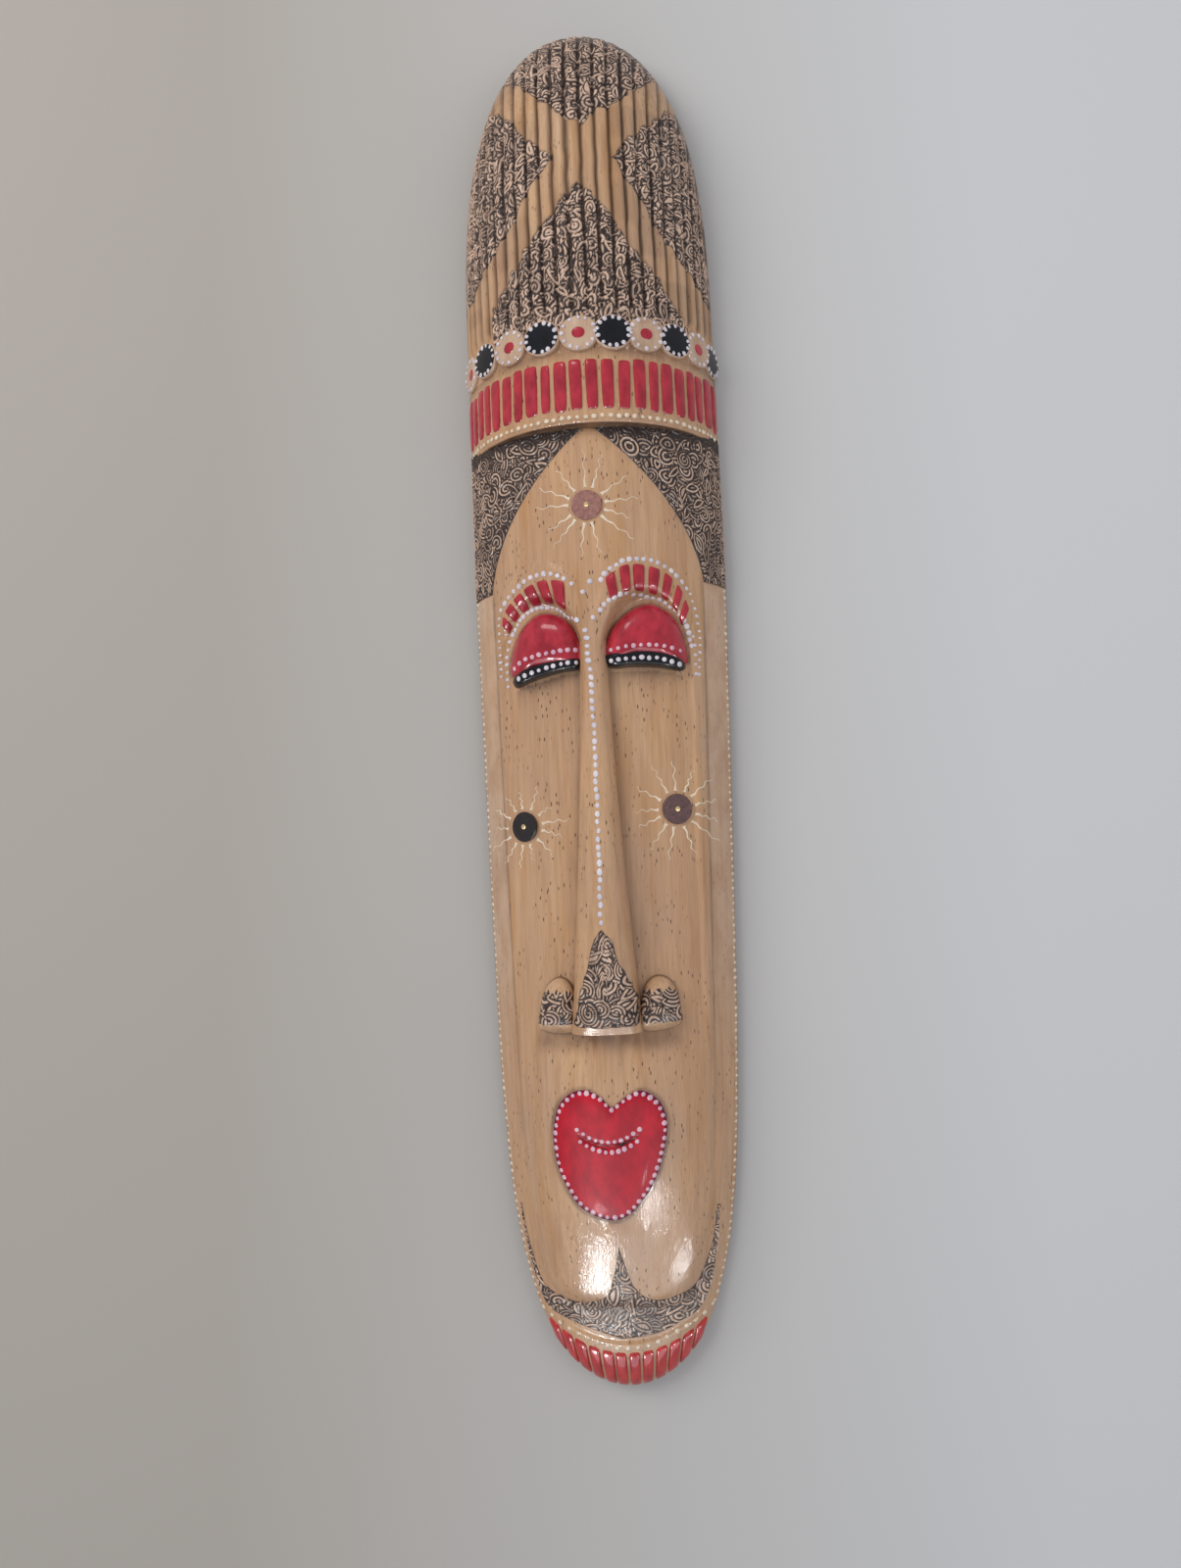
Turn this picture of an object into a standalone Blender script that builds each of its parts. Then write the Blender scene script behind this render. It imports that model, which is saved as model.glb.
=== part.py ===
"""A tall carved and painted wooden mask, one metre long, lying on its open back with its face up.

The mask is one piece of light wood: a half log, domed in front and hollowed behind. The head end is at +Y,
the chin end at -Y, and the wall side is the plane z = 0. Three flat discs are let into the forehead and the
cheeks, and a small brass tack holds each one. All sizes are in metres.
"""

import math

import bmesh
import bpy
from mathutils import Matrix, Vector

# The blank, a half log
LENGTH = 1.000
WIDTH = 0.187
EDGE = 0.007  # upright edge that meets the wall behind
HAT_RISE = 0.075  # highest point of the hat
FACE_RISE = 0.064  # forehead and face along the middle
LOG_RISE = 0.058  # side strips and collar, before they fall to the ends
HAIR_RAISE = 0.0045  # hair above the level of the side strips
CHIN_TAPER = 0.0112  # how much the half width loses from the cheeks to the chin
LOG_EDGE_ANGLE = math.radians(71.8)  # slope of the log's section where it meets its edge

# The hollow at the back, and the notch for a nail in its upper lip
SIDE_WALL = 0.0165
CROWN_WEB = 0.046
CHIN_WEB = 0.040
HOLLOW_DEPTH = 0.036
NOTCH_WIDTH = 0.022
NOTCH_LENGTH = 0.010
NOTCH_DEPTH = 0.012

# The hat
CROWN_ROUNDNESS = 2.65  # 2 would make the crown's outline an ellipse, and more makes it fuller
HAT_LEAN = -0.0026  # how far the top of the hat leans to the side
RIM_SHARE = 0.676  # where the rim lies, as a share of the length from the chin
RIM_OVERLAP = 0.024  # how far the face block runs in under the hat
RIM_LIP = 0.008
BAND_BAR_LENGTH = 0.038
BAND_BARS = 22
BAR_GAP = 0.0032
BAR_LIFT = 0.0013
BOSS_SHARE = 0.7395
BOSS_DIAMETER = 0.0256
BOSS_STRETCH = 1.10  # the bosses are a little taller than they are wide
BOSS_LIFT = 0.0030
BOSS_SINK = 0.7  # share of that height which the bosses at the sides lose
BOSS_SINK_FROM = 0.80  # where they start to lose it, as a share of half the hat's curve
BOSS_SINK_TO = 0.95
BOSSES_LEFT = 4
BOSSES_RIGHT = 5
BOSS_START = -0.002  # the boss nearest the middle, measured over the curve
BOSS_PITCH_LEFT = 0.0265  # the carver spaced the two sides a little differently
BOSS_PITCH_RIGHT = 0.0239
FLUTES = 24
FLUTE_WIDTH = 0.0042
FLUTE_DEPTH = 0.0023
FLUTE_START_SHARE = 0.757

# The face inside its side strips
STRIP = 0.0165
SHOULDER = 0.012
FACE_LEAN = -0.003  # the carver set the face a little off the middle
CHEEK_DEPTH = 0.0115
CHEEK_REACH = {-1: 0.056, 1: 0.068}  # how far out each cheek is hollowed, from the middle of the face
BROW_LIFT = 0.0022
BROW_BAR_LENGTH = 0.0165
EYE_SPAN = 0.038  # from the middle of the face to the middle of an eye
EYE_HALF_WIDTH = 0.0285
LID_HEIGHT = 0.037
LID_RISE = 0.0125
LASH_HEIGHT = 0.0080
LASH_RISE = 0.0095
NOSE_TIP_RISE = 0.083
NOSE_TOP_HALF = 0.0095
NOSE_BASE_HALF = 0.025
NOSTRIL_SPAN = 0.0375
NOSTRIL_HALF_WIDTH = 0.0135
NOSTRIL_HEIGHT = 0.036
NOSTRIL_RISE = 0.0145
LIPS_HALF_WIDTH = 0.040
LIPS_LIFT = 0.0026
SLIT_WIDTH = 0.0032
COLLAR_LIFT = 0.0016
COLLAR_BARS = 12

# The discs and tacks
DISC_DIAMETER = 0.0216
DISC_THICKNESS = 0.0020
DISC_SEAT = 0.0010  # depth of the flat seat cut in the wood
TACK_HEAD_DIAMETER = 0.0040
TACK_HEAD_HEIGHT = 0.0010
TACK_SHANK_DIAMETER = 0.0014
TACK_LENGTH = 0.009
CLEARANCE = 0.0003

# How finely the free forms are cut
FACE_COLUMNS = 84
FACE_ROWS = 230
FACE_SHARE_KEPT = 0.047
FLAT_ANGLE = math.radians(0.8)  # faces that meet at less than this are joined

HALF = WIDTH / 2
TOP = LENGTH / 2
BOTTOM = -LENGTH / 2


def along(share):
    """Height on the mask of a share of its length, counted from the chin end."""
    return BOTTOM + share * LENGTH


RIM_Y = along(RIM_SHARE)
CROWN_START = along(0.776)
TAPER_START = along(0.55)
DOME_START = along(0.82)
BROW_Y = along(0.514)
LASH_Y = {-1: along(0.5035), 1: along(0.5085)}  # the wearer's right eye sits a little lower
NOSE_TOP_Y = along(0.548)
NOSE_BASE_Y = along(0.2525)
LIPS_Y = along(0.186)
FACE_END_Y = along(0.063)
COLLAR_Y = along(0.036)


def clamp(value, low=0.0, high=1.0):
    return max(low, min(high, value))


def smooth(low, high, value):
    """0 below low, 1 above high, and an even curve between."""
    t = clamp((value - low) / (high - low))
    return t * t * (3 - 2 * t)


def soft_min(a, b, reach):
    """The lower of two values, with the corner between them rounded."""
    h = clamp(0.5 + 0.5 * (b - a) / reach)
    return b + (a - b) * h - reach * h * (1 - h)


def full_arch(t):
    """Arch that falls from 1 to 0 for t from 0 to 1, fuller than a quarter of a circle."""
    return (1 - clamp(t) ** CROWN_ROUNDNESS) ** (1 / CROWN_ROUNDNESS)


def middle_line(y):
    """x of the hat's middle, which leans a little towards the top."""
    lean_start = along(0.60)
    return HAT_LEAN * clamp((y - lean_start) / (TOP - lean_start))


def half_width(y):
    """Outline of the mask: straight sides, an arched crown and a blunt chin."""
    if y >= CROWN_START:
        s = clamp((y - CROWN_START) / (TOP - CROWN_START))
        return HALF * full_arch(s)
    s = clamp((TAPER_START - y) / (TAPER_START - BOTTOM))
    return (HALF - CHIN_TAPER * s) * (1 - s**7.4) ** 0.48


def chin_outline(x):
    """Height on the mask where the outline of the chin passes x."""
    low, high = BOTTOM, TAPER_START
    for _ in range(40):
        middle = (low + high) / 2
        if half_width(middle) < abs(x):
            low = middle
        else:
            high = middle
    return high


def arch(t):
    """Section of the log: 1 on the ridge and 0 at the edge, for t from 0 to 1."""
    foot = math.cos(LOG_EDGE_ANGLE)
    return (math.sqrt(1 - (math.sin(LOG_EDGE_ANGLE) * clamp(t)) ** 2) - foot) / (1 - foot)


def domed(x, y, ridge):
    """Height of a log whose ridge is that high at y."""
    return EDGE + (ridge - EDGE) * arch(abs(x - middle_line(y)) / max(half_width(y), 1e-6))


def hat_surface(x, y):
    """The hat without its flutes."""
    s = clamp((y - DOME_START) / (TOP - DOME_START))
    return domed(x, y, EDGE + (HAT_RISE - EDGE) * (1 - s**3.15) ** 0.465)


def fall_to_chin(rise, y, bluntness):
    """Ridge height that falls to the edge at the chin end."""
    s = clamp((RIM_Y - y) / (RIM_Y - BOTTOM))
    return EDGE + (rise - EDGE) * math.sqrt(1 - s**bluntness)


def log_surface(x, y):
    """Hair, side strips and the ground of the collar."""
    hair = HAIR_RAISE * smooth(along(0.53), along(0.59), y)
    return domed(x, y, fall_to_chin(LOG_RISE, y, 4) + hair)


def inside_face(x, y):
    """How far a point lies inside the face's own outline: a pointed arch above, the side strips' inner edges,
    and a nearly straight lower end."""
    q = clamp((y - along(0.56)) / (RIM_Y + 0.002 - along(0.56)))
    ogive = 0.98 * (HALF - STRIP) * (1 - q**1.9) + 0.0015
    side = min(half_width(y) - STRIP, ogive) - abs(x - middle_line(y))
    return soft_min(side, y - FACE_END_Y, 0.020)


def eye_place(x):
    """Which eye x belongs to, -1 or 1, and its distance from that eye's middle."""
    side = -1 if x < FACE_LEAN else 1
    return side, x - FACE_LEAN - side * EYE_SPAN


def cheek_hollow(x, y):
    """How far the sockets and cheeks are cut back, as a share of CHEEK_DEPTH."""
    side, dx = eye_place(x)
    top = max(y - BROW_Y, 0.0) / 0.045
    ring = (dx / 0.031) ** 2 + top * top
    outward = abs(x - FACE_LEAN)
    fade_out = 1 - smooth(0.026, CHEEK_REACH[side], outward)
    fade_down = smooth(along(0.205), along(0.300), y)
    return (1 - smooth(0.78, 1.08, ring)) * (0.35 + 0.65 * fade_out) * fade_down


def brow_ridge(x, y):
    """How far the brows stand up, as a share of BROW_LIFT."""
    side, dx = eye_place(x)
    dy = (y - BROW_Y) / 0.058
    ring = math.sqrt((dx / 0.034) ** 2 + dy * dy)
    band = smooth(0.76, 0.90, ring) * (1 - smooth(1.08, 1.25, ring))
    return band * smooth(0.30, 0.55, dy)


def face_surface(x, y):
    """The whole ground of the lower mask: log, raised face, sockets, cheeks, brows and collar."""
    log = log_surface(x, y)
    inside = inside_face(x, y)
    if inside > 0:
        face = domed(x, y, fall_to_chin(FACE_RISE, y, 6))
        face += BROW_LIFT * brow_ridge(x, y) - CHEEK_DEPTH * cheek_hollow(x, y)
        s = clamp(inside / SHOULDER)
        return log + (face - log) * math.sqrt(1 - (1 - s) ** 2)
    return log + COLLAR_LIFT * smooth(-0.0015, 0.0015, collar_line(x) - y)


def collar_line(x):
    """Upper edge of the collar, which curves up to the sides."""
    return COLLAR_Y + 0.019 * (x / 0.055) ** 2


def nose_half(y):
    s = clamp((NOSE_TOP_Y - y) / (NOSE_TOP_Y - NOSE_BASE_Y))
    return NOSE_TOP_HALF + (NOSE_BASE_HALF - NOSE_TOP_HALF) * s**1.6


def nose_surface(x, y):
    """Long nose: starts flush with the forehead and rises to a rounded tip over a straight base."""
    s = clamp((NOSE_TOP_Y - y) / (NOSE_TOP_Y - NOSE_BASE_Y))
    start = domed(FACE_LEAN, NOSE_TOP_Y, fall_to_chin(FACE_RISE, NOSE_TOP_Y, 6))
    crest = start + (NOSE_TIP_RISE - start) * s**1.3
    crest -= 0.009 * (1 - smooth(0.0, 0.016, y - NOSE_BASE_Y)) ** 2
    ground = face_surface(FACE_LEAN + 1.15 * nose_half(y), y)
    u = clamp(abs(x - FACE_LEAN) / nose_half(y))
    return ground + (crest - ground) * (1 - u**2.8) ** 0.5


def lips_span(x):
    """Lowest and highest point of the heart-shaped lips at x."""
    q = clamp(abs(x - FACE_LEAN) / LIPS_HALF_WIDTH)
    lobe = LIPS_HALF_WIDTH * 0.69
    if q > 0.45:
        high = LIPS_Y + lobe * math.sqrt(max(1 - ((q - 0.45) / 0.55) ** 2, 0.0))
    else:
        high = LIPS_Y + lobe - LIPS_HALF_WIDTH * 0.29 * (1 - q / 0.45) ** 1.3
    return LIPS_Y - LIPS_HALF_WIDTH * 1.52 * (1 - q * q) ** 0.62, high


def hat_arc_table():
    """Pairs of distance along the hat's section and x, from the middle to the edge."""
    steps = 400
    pairs, arc = [(0.0, 0.0)], 0.0
    last = (0.0, hat_surface(0.0, RIM_Y))
    for i in range(1, steps + 1):
        x = HALF * math.sin(math.pi / 2 * i / steps)
        here = (x, hat_surface(x, RIM_Y))
        arc += math.hypot(here[0] - last[0], here[1] - last[1])
        pairs.append((arc, x))
        last = here
    return pairs


HAT_ARC = hat_arc_table()
HALF_ARC = HAT_ARC[-1][0]


def across(arc):
    """Distance sideways of a point that lies that far from the middle, measured over the hat's curve."""
    want = min(abs(arc), HALF_ARC)
    for (a0, x0), (a1, x1) in zip(HAT_ARC, HAT_ARC[1:]):
        if want <= a1:
            return math.copysign(x0 + (x1 - x0) * (want - a0) / (a1 - a0), arc)
    return math.copysign(HALF, arc)


def normal_of(surface, x, y):
    """Outward normal of a surface given as a height."""
    step = 0.002
    slope_x = (surface(x + step, y) - surface(x - step, y)) / (2 * step)
    slope_y = (surface(x, y + step) - surface(x, y - step)) / (2 * step)
    return Vector((-slope_x, -slope_y, 1.0)).normalized()


def standing_on(surface, x, y):
    """Matrix that stands an object's own +Z on a surface at x, y."""
    turn = normal_of(surface, x, y).to_track_quat("Z", "Y").to_matrix().to_4x4()
    return Matrix.Translation((x, y, surface(x, y))) @ turn


def clear_scene():
    for obj in list(bpy.data.objects):
        bpy.data.objects.remove(obj, do_unlink=True)
    for collection in list(bpy.data.collections):
        bpy.data.collections.remove(collection)


def new_collection(name):
    collection = bpy.data.collections.new(name)
    bpy.context.scene.collection.children.link(collection)
    return collection


def material(name, colour, roughness, metallic=0.0):
    made = bpy.data.materials.new(name)
    made.use_nodes = True
    shader = made.node_tree.nodes["Principled BSDF"]
    shader.inputs["Base Color"].default_value = (*colour, 1.0)
    shader.inputs["Roughness"].default_value = roughness
    shader.inputs["Metallic"].default_value = metallic
    return made


def as_object(name, bm, collection, helper=False):
    """Puts a finished bmesh in the scene. A helper is a cutter or a shape to be joined, and isn't shown."""
    bmesh.ops.remove_doubles(bm, verts=bm.verts, dist=1e-6)
    bmesh.ops.recalc_face_normals(bm, faces=bm.faces)
    mesh = bpy.data.meshes.new(name)
    bm.to_mesh(mesh)
    bm.free()
    obj = bpy.data.objects.new(name, mesh)
    collection.objects.link(obj)
    if helper:
        obj.hide_render = True
        obj.display_type = "WIRE"
    return obj


def grid_solid(place, columns, rows, floor):
    """Closed solid under a surface: place(u, v) gives a point of the surface for u and v from 0 to 1, and
    floor(x, y, z) gives the height at which the solid ends below it."""
    bm = bmesh.new()
    bmesh.ops.create_grid(bm, x_segments=columns, y_segments=rows, size=0.5)
    for vert in bm.verts:
        vert.co = Vector(place(vert.co.x + 0.5, vert.co.y + 0.5))
    bmesh.ops.remove_doubles(bm, verts=bm.verts, dist=1e-6)
    rim = [edge for edge in bm.edges if edge.is_boundary]
    made = bmesh.ops.extrude_edge_only(bm, edges=rim)["geom"]
    lower = [item for item in made if isinstance(item, bmesh.types.BMVert)]
    for vert in lower:
        vert.co.z = floor(*vert.co)
    bmesh.ops.holes_fill(bm, edges=[edge for edge in bm.edges if edge.is_boundary], sides=0)
    return bm


def pad_solid(place, columns, rows, sink):
    """Closed solid that follows a surface and reaches the same depth below it everywhere."""
    bm = bmesh.new()
    bmesh.ops.create_grid(bm, x_segments=columns, y_segments=rows, size=0.5)
    for vert in bm.verts:
        vert.co = Vector(place(vert.co.x + 0.5, vert.co.y + 0.5))
    bmesh.ops.remove_doubles(bm, verts=bm.verts, dist=1e-6)
    made = bmesh.ops.extrude_face_region(bm, geom=bm.faces[:])["geom"]
    lower = [item for item in made if isinstance(item, bmesh.types.BMVert)]
    bmesh.ops.translate(bm, verts=lower, vec=(0, 0, -sink))
    return bm


def face_block(collection):
    """Lower mask and the tongue that runs in under the hat, before any feature is added."""
    head = RIM_Y + RIM_OVERLAP
    floor_z = -0.006

    def place(u, v):
        y = BOTTOM + (head - BOTTOM) * (1 - math.cos(math.pi * v / 2)) ** 0.75
        inset = 0.006 * smooth(RIM_Y, RIM_Y + 0.004, y)
        x = middle_line(y) + max(half_width(y) - inset, 0.0) * math.sin(math.pi * (u - 0.5))
        return x, y, face_surface(x, y) - 2 * inset

    bm = grid_solid(place, FACE_COLUMNS, FACE_ROWS, lambda x, y, z: floor_z)
    block = as_object("face_block", bm, collection, helper=True)
    thin = block.modifiers.new("fewer_faces", "DECIMATE")
    thin.ratio = FACE_SHARE_KEPT
    return block


def flute_stations():
    """Distances over the hat's curve of the columns that carry the flutes, each with its share of the depth."""
    pitch = 2 * HALF_ARC / FLUTES
    stations = []
    for i in range(FLUTES):
        middle = -HALF_ARC + pitch * (i + 0.5)
        stations += [(middle - FLUTE_WIDTH / 2, 0.0), (middle, 1.0), (middle + FLUTE_WIDTH / 2, 0.0)]
    return sorted([(-HALF_ARC, 0.0), *stations, (0.0, 0.0), (HALF_ARC, 0.0)])


def hat_rows():
    """Rows of the hat's surface: heights up to the arch of the crown, then shares of the way to its outline."""
    start = along(FLUTE_START_SHARE)
    straight = [RIM_Y, start, start + 0.004, (start + CROWN_START) / 2, CROWN_START]
    shares = [math.sin(math.pi / 2 * i / 7) for i in range(1, 8)]
    return straight, shares


def hat_block(collection):
    """Hat with its flutes, which run straight up and out over the arched crown."""
    stations = flute_stations()
    straight, shares = hat_rows()
    flutes_from = along(FLUTE_START_SHARE)

    def place(u, v):
        arc, depth = stations[round(u * (len(stations) - 1))]
        off = across(arc)
        row = round(v * (len(straight) + len(shares) - 1))
        if row < len(straight):
            y = straight[row]
        else:
            outline = CROWN_START + (TOP - CROWN_START) * full_arch(abs(off) / HALF)
            y = CROWN_START + shares[row - len(straight)] * (outline - CROWN_START)
        cut = FLUTE_DEPTH * depth * (y > flutes_from + 1e-6)
        x = off + middle_line(y)
        z = hat_surface(x, y)
        return x, y, z - cut * smooth(EDGE, EDGE + 0.012, z)

    columns = len(stations) - 1
    rows = len(straight) + len(shares) - 1
    floor_z = -0.010
    return as_object("hat_block", grid_solid(place, columns, rows, lambda x, y, z: floor_z), collection, helper=True)


def bosses(collection):
    """Row of round bosses round the hat, touching one another over the band. Those at the sides stand out less."""
    buried = 0.006
    for i in range(-BOSSES_LEFT, BOSSES_RIGHT + 1):
        arc = BOSS_START + i * (BOSS_PITCH_RIGHT if i > 0 else BOSS_PITCH_LEFT)
        lift = BOSS_LIFT * (1 - BOSS_SINK * smooth(BOSS_SINK_FROM, BOSS_SINK_TO, abs(arc) / HALF_ARC))
        bm = bmesh.new()
        radius = BOSS_DIAMETER / 2
        bmesh.ops.create_cone(
            bm, cap_ends=True, segments=12, radius1=radius, radius2=radius, depth=lift + buried
        )
        bmesh.ops.translate(bm, verts=bm.verts, vec=(0, 0, (lift - buried) / 2))
        top = [edge for edge in bm.edges if all(v.co.z > lift / 2 for v in edge.verts)]
        bmesh.ops.bevel(bm, geom=top, offset=0.45 * lift, segments=1, profile=0.5, affect="EDGES", material=-1)
        bmesh.ops.scale(bm, verts=bm.verts, vec=(1, BOSS_STRETCH, 1))
        y = along(BOSS_SHARE)
        bm.transform(standing_on(hat_surface, across(arc) + middle_line(y), y))
        as_object(f"boss_{i + BOSSES_LEFT}", bm, collection, helper=True)


def bar(name, surface, corners, lift, collection, columns=2, rows=3):
    """One raised bar on a surface, from its four corners in x and y: two below, then two above."""
    (ax, ay), (bx, by), (cx, cy), (dx, dy) = corners

    def place(u, v):
        x = (ax * (1 - u) + bx * u) * (1 - v) + (cx * (1 - u) + dx * u) * v
        y = (ay * (1 - u) + by * u) * (1 - v) + (cy * (1 - u) + dy * u) * v
        return x, y, surface(x, y) + lift

    as_object(name, pad_solid(place, columns, rows, lift + 0.003), collection, helper=True)


def band_bars(collection):
    """Upright bars round the hat's band."""
    pitch = 2 * HALF_ARC / BAND_BARS
    low = RIM_Y + RIM_LIP
    for i in range(BAND_BARS):
        left = across(-HALF_ARC + pitch * i + BAR_GAP / 2)
        right = across(-HALF_ARC + pitch * (i + 1) - BAR_GAP / 2)
        corners = [(left, low), (right, low), (left, low + BAND_BAR_LENGTH), (right, low + BAND_BAR_LENGTH)]
        bar(f"band_bar_{i}", hat_surface, corners, BAR_LIFT, collection, rows=1)


def brow_point(side, angle, reach):
    """Point on a brow: the angle is 0 at the outer end and 180 degrees at the nose."""
    a = math.radians(angle)
    lift = LASH_Y[side] - LASH_Y[-1]
    x = FACE_LEAN + side * (EYE_SPAN + (0.0255 + reach) * math.cos(a))
    return x, BROW_Y + lift + (0.0400 + reach) * math.sin(a)


def brow_bars(collection):
    """Short bars fanned round each brow."""
    for side, count in ((-1, 6), (1, 7)):
        first, last = 22.0, 128.0
        pitch = (last - first) / count
        for i in range(count):
            start, end = first + pitch * (i + 0.16), first + pitch * (i + 0.84)
            inner, outer = 0.0015, 0.0015 + BROW_BAR_LENGTH * 0.9
            angles = (end, start) if side > 0 else (start, end)
            corners = [brow_point(side, a, inner) for a in angles]
            corners += [brow_point(side, a, outer) for a in angles]
            bar(f"brow_bar_{side}_{i}", face_surface, corners, BAR_LIFT, collection, columns=1, rows=2)


def collar_bars(collection):
    """Bars fanned round the chin end, from the row of dots to the outline."""
    reach = 0.056
    for i in range(COLLAR_BARS):
        middle = reach * (i - (COLLAR_BARS - 1) / 2) / ((COLLAR_BARS - 1) / 2)
        half = reach / (COLLAR_BARS - 1) - BAR_GAP / 2
        corners = []
        for share, fan in ((0.94, 0.88), (0.0, 1.0)):
            for x in (middle - half, middle + half):
                x_here = x * fan
                high = collar_line(x) - 0.0075
                low = chin_outline(x_here)
                corners.append((x_here, high + (low - high) * share))
        bar(f"collar_bar_{i}", face_surface, corners, BAR_LIFT, collection, columns=1, rows=3)


def half_dome(name, middle, low, half, height, rise, crown, collection, columns=10, rows=5):
    """Bulge with a nearly straight lower edge and an arched upper one, such as a lid or a nostril's wing."""

    def place(u, v):
        dx = half * math.sin(math.pi * (u - 0.5))
        span = math.sqrt(max(1 - (dx / half) ** 2, 0.0))
        x, y = middle + dx, low + height * span * math.sin(math.pi * v / 2)
        t = (y - low) / height
        profile = math.sqrt(max(1 - (max(t - crown, 0.0) / (1 - crown)) ** 2 - (dx / half) ** 2, 0.0))
        return x, y, face_surface(x, y) + rise * profile + 0.0006

    as_object(name, pad_solid(place, columns, rows, rise + 0.006), collection, helper=True)


def eyes(collection):
    """Closed eyes: a domed lid over a narrower lash edge, which overhangs the cheek."""
    for side in (-1, 1):
        middle = FACE_LEAN + side * EYE_SPAN
        low = LASH_Y[side] + LASH_HEIGHT
        half_dome(f"lid_{side}", middle, low, EYE_HALF_WIDTH, LID_HEIGHT, LID_RISE, 0.15, collection)
        half_dome(
            f"lash_{side}", middle, LASH_Y[side], EYE_HALF_WIDTH * 0.97, LID_HEIGHT, LASH_RISE, 0.4, collection,
            rows=3,
        )


def nose(collection):
    """Nose and the two wings of the nostrils."""

    def place(u, v):
        y = NOSE_BASE_Y + (NOSE_TOP_Y - NOSE_BASE_Y) * v**1.4
        x = FACE_LEAN + nose_half(y) * math.sin(math.pi * (u - 0.5))
        return x, y, nose_surface(x, y)

    as_object("nose", pad_solid(place, 10, 13, 0.030), collection, helper=True)
    for side in (-1, 1):
        half_dome(
            f"nostril_{side}", FACE_LEAN + side * NOSTRIL_SPAN, NOSE_BASE_Y + 0.0004, NOSTRIL_HALF_WIDTH,
            NOSTRIL_HEIGHT, NOSTRIL_RISE, 0.35, collection, columns=8, rows=5,
        )


def lips(collection):
    """Heart-shaped lips, raised all over with a rounded edge."""

    def place(u, v):
        x = FACE_LEAN + LIPS_HALF_WIDTH * math.sin(math.pi * (u - 0.5))
        low, high = lips_span(x)
        y = low + (high - low) * (0.5 - 0.5 * math.cos(math.pi * v))
        edge = min(1.0, 6 * (1 - abs(x - FACE_LEAN) / LIPS_HALF_WIDTH), 9 * v, 9 * (1 - v))
        return x, y, face_surface(x, y) + LIPS_LIFT * (0.45 + 0.55 * edge)

    as_object("lips", pad_solid(place, 18, 6, 0.008), collection, helper=True)


def mouth_slit(collection):
    """Curved tube that cuts the line of the mouth into the lips."""
    path = bpy.data.curves.new("mouth_slit", "CURVE")
    path.dimensions = "3D"
    path.bevel_depth = SLIT_WIDTH / 2
    path.bevel_resolution = 1
    path.use_fill_caps = True
    steps = 10
    spline = path.splines.new("POLY")
    spline.points.add(steps)
    for i, point in enumerate(spline.points):
        s = 2 * i / steps - 1
        x = FACE_LEAN + 0.50 * LIPS_HALF_WIDTH * s
        y = LIPS_Y - 0.011 + 0.011 * s * s
        point.co = (x, y, face_surface(x, y) + LIPS_LIFT - 0.0002 + 0.0008 * s**6, 1.0)
    guide = bpy.data.objects.new("mouth_slit_path", path)
    bpy.context.scene.collection.objects.link(guide)
    bpy.context.view_layer.update()
    mesh = bpy.data.meshes.new_from_object(guide.evaluated_get(bpy.context.evaluated_depsgraph_get()))
    bpy.data.objects.remove(guide)
    bm = bmesh.new()
    bm.from_mesh(mesh)
    bmesh.ops.remove_doubles(bm, verts=bm.verts, dist=1e-6)
    as_object("mouth_slit", bm, collection, helper=True)


def back_hollow(collection):
    """Boat-shaped hollow, cut from behind."""
    half = HALF - SIDE_WALL
    top, bottom = TOP - CROWN_WEB, BOTTOM + CHIN_WEB
    top_run, bottom_run = 0.15, 0.22
    bm = bmesh.new()
    bmesh.ops.create_uvsphere(bm, u_segments=24, v_segments=14, radius=1.0)
    bmesh.ops.rotate(bm, verts=bm.verts, matrix=Matrix.Rotation(math.pi / 2, 3, "X"))
    for vert in bm.verts:
        x, y, z = vert.co
        if y >= -1e-4:
            far = top - top_run + top_run * y
        else:
            far = bottom + bottom_run + bottom_run * y
        vert.co = (half * x, far, HOLLOW_DEPTH * z)
    as_object("back_hollow", bm, collection, helper=True)


def nail_notch(collection):
    """Square notch in the hollow's upper lip, which hooks over a nail."""
    lip = TOP - CROWN_WEB
    bm = bmesh.new()
    bmesh.ops.create_cube(bm, size=1.0)
    back = 0.020
    bmesh.ops.scale(bm, verts=bm.verts, vec=(NOTCH_WIDTH, NOTCH_LENGTH + back, 2 * NOTCH_DEPTH))
    bmesh.ops.translate(bm, verts=bm.verts, vec=(0, lip + (NOTCH_LENGTH - back) / 2, 0))
    as_object("nail_notch", bm, collection, helper=True)


def ground(collection):
    """Block below the wall plane, which leaves the back rim flat."""
    bm = bmesh.new()
    bmesh.ops.create_cube(bm, size=1.0)
    depth = 0.060
    bmesh.ops.scale(bm, verts=bm.verts, vec=(1.6 * WIDTH, 1.1 * LENGTH, depth))
    bmesh.ops.translate(bm, verts=bm.verts, vec=(0, 0, -depth / 2))
    as_object("ground", bm, collection, helper=True)


def disc_places():
    """Where the three discs sit: forehead, and the cheeks on the left and right of the view."""
    return {
        "forehead": (FACE_LEAN, along(0.6200)),
        "left_cheek": (-0.615 * HALF, along(0.3960)),
        "right_cheek": (0.546 * HALF, along(0.4040)),
    }


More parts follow.
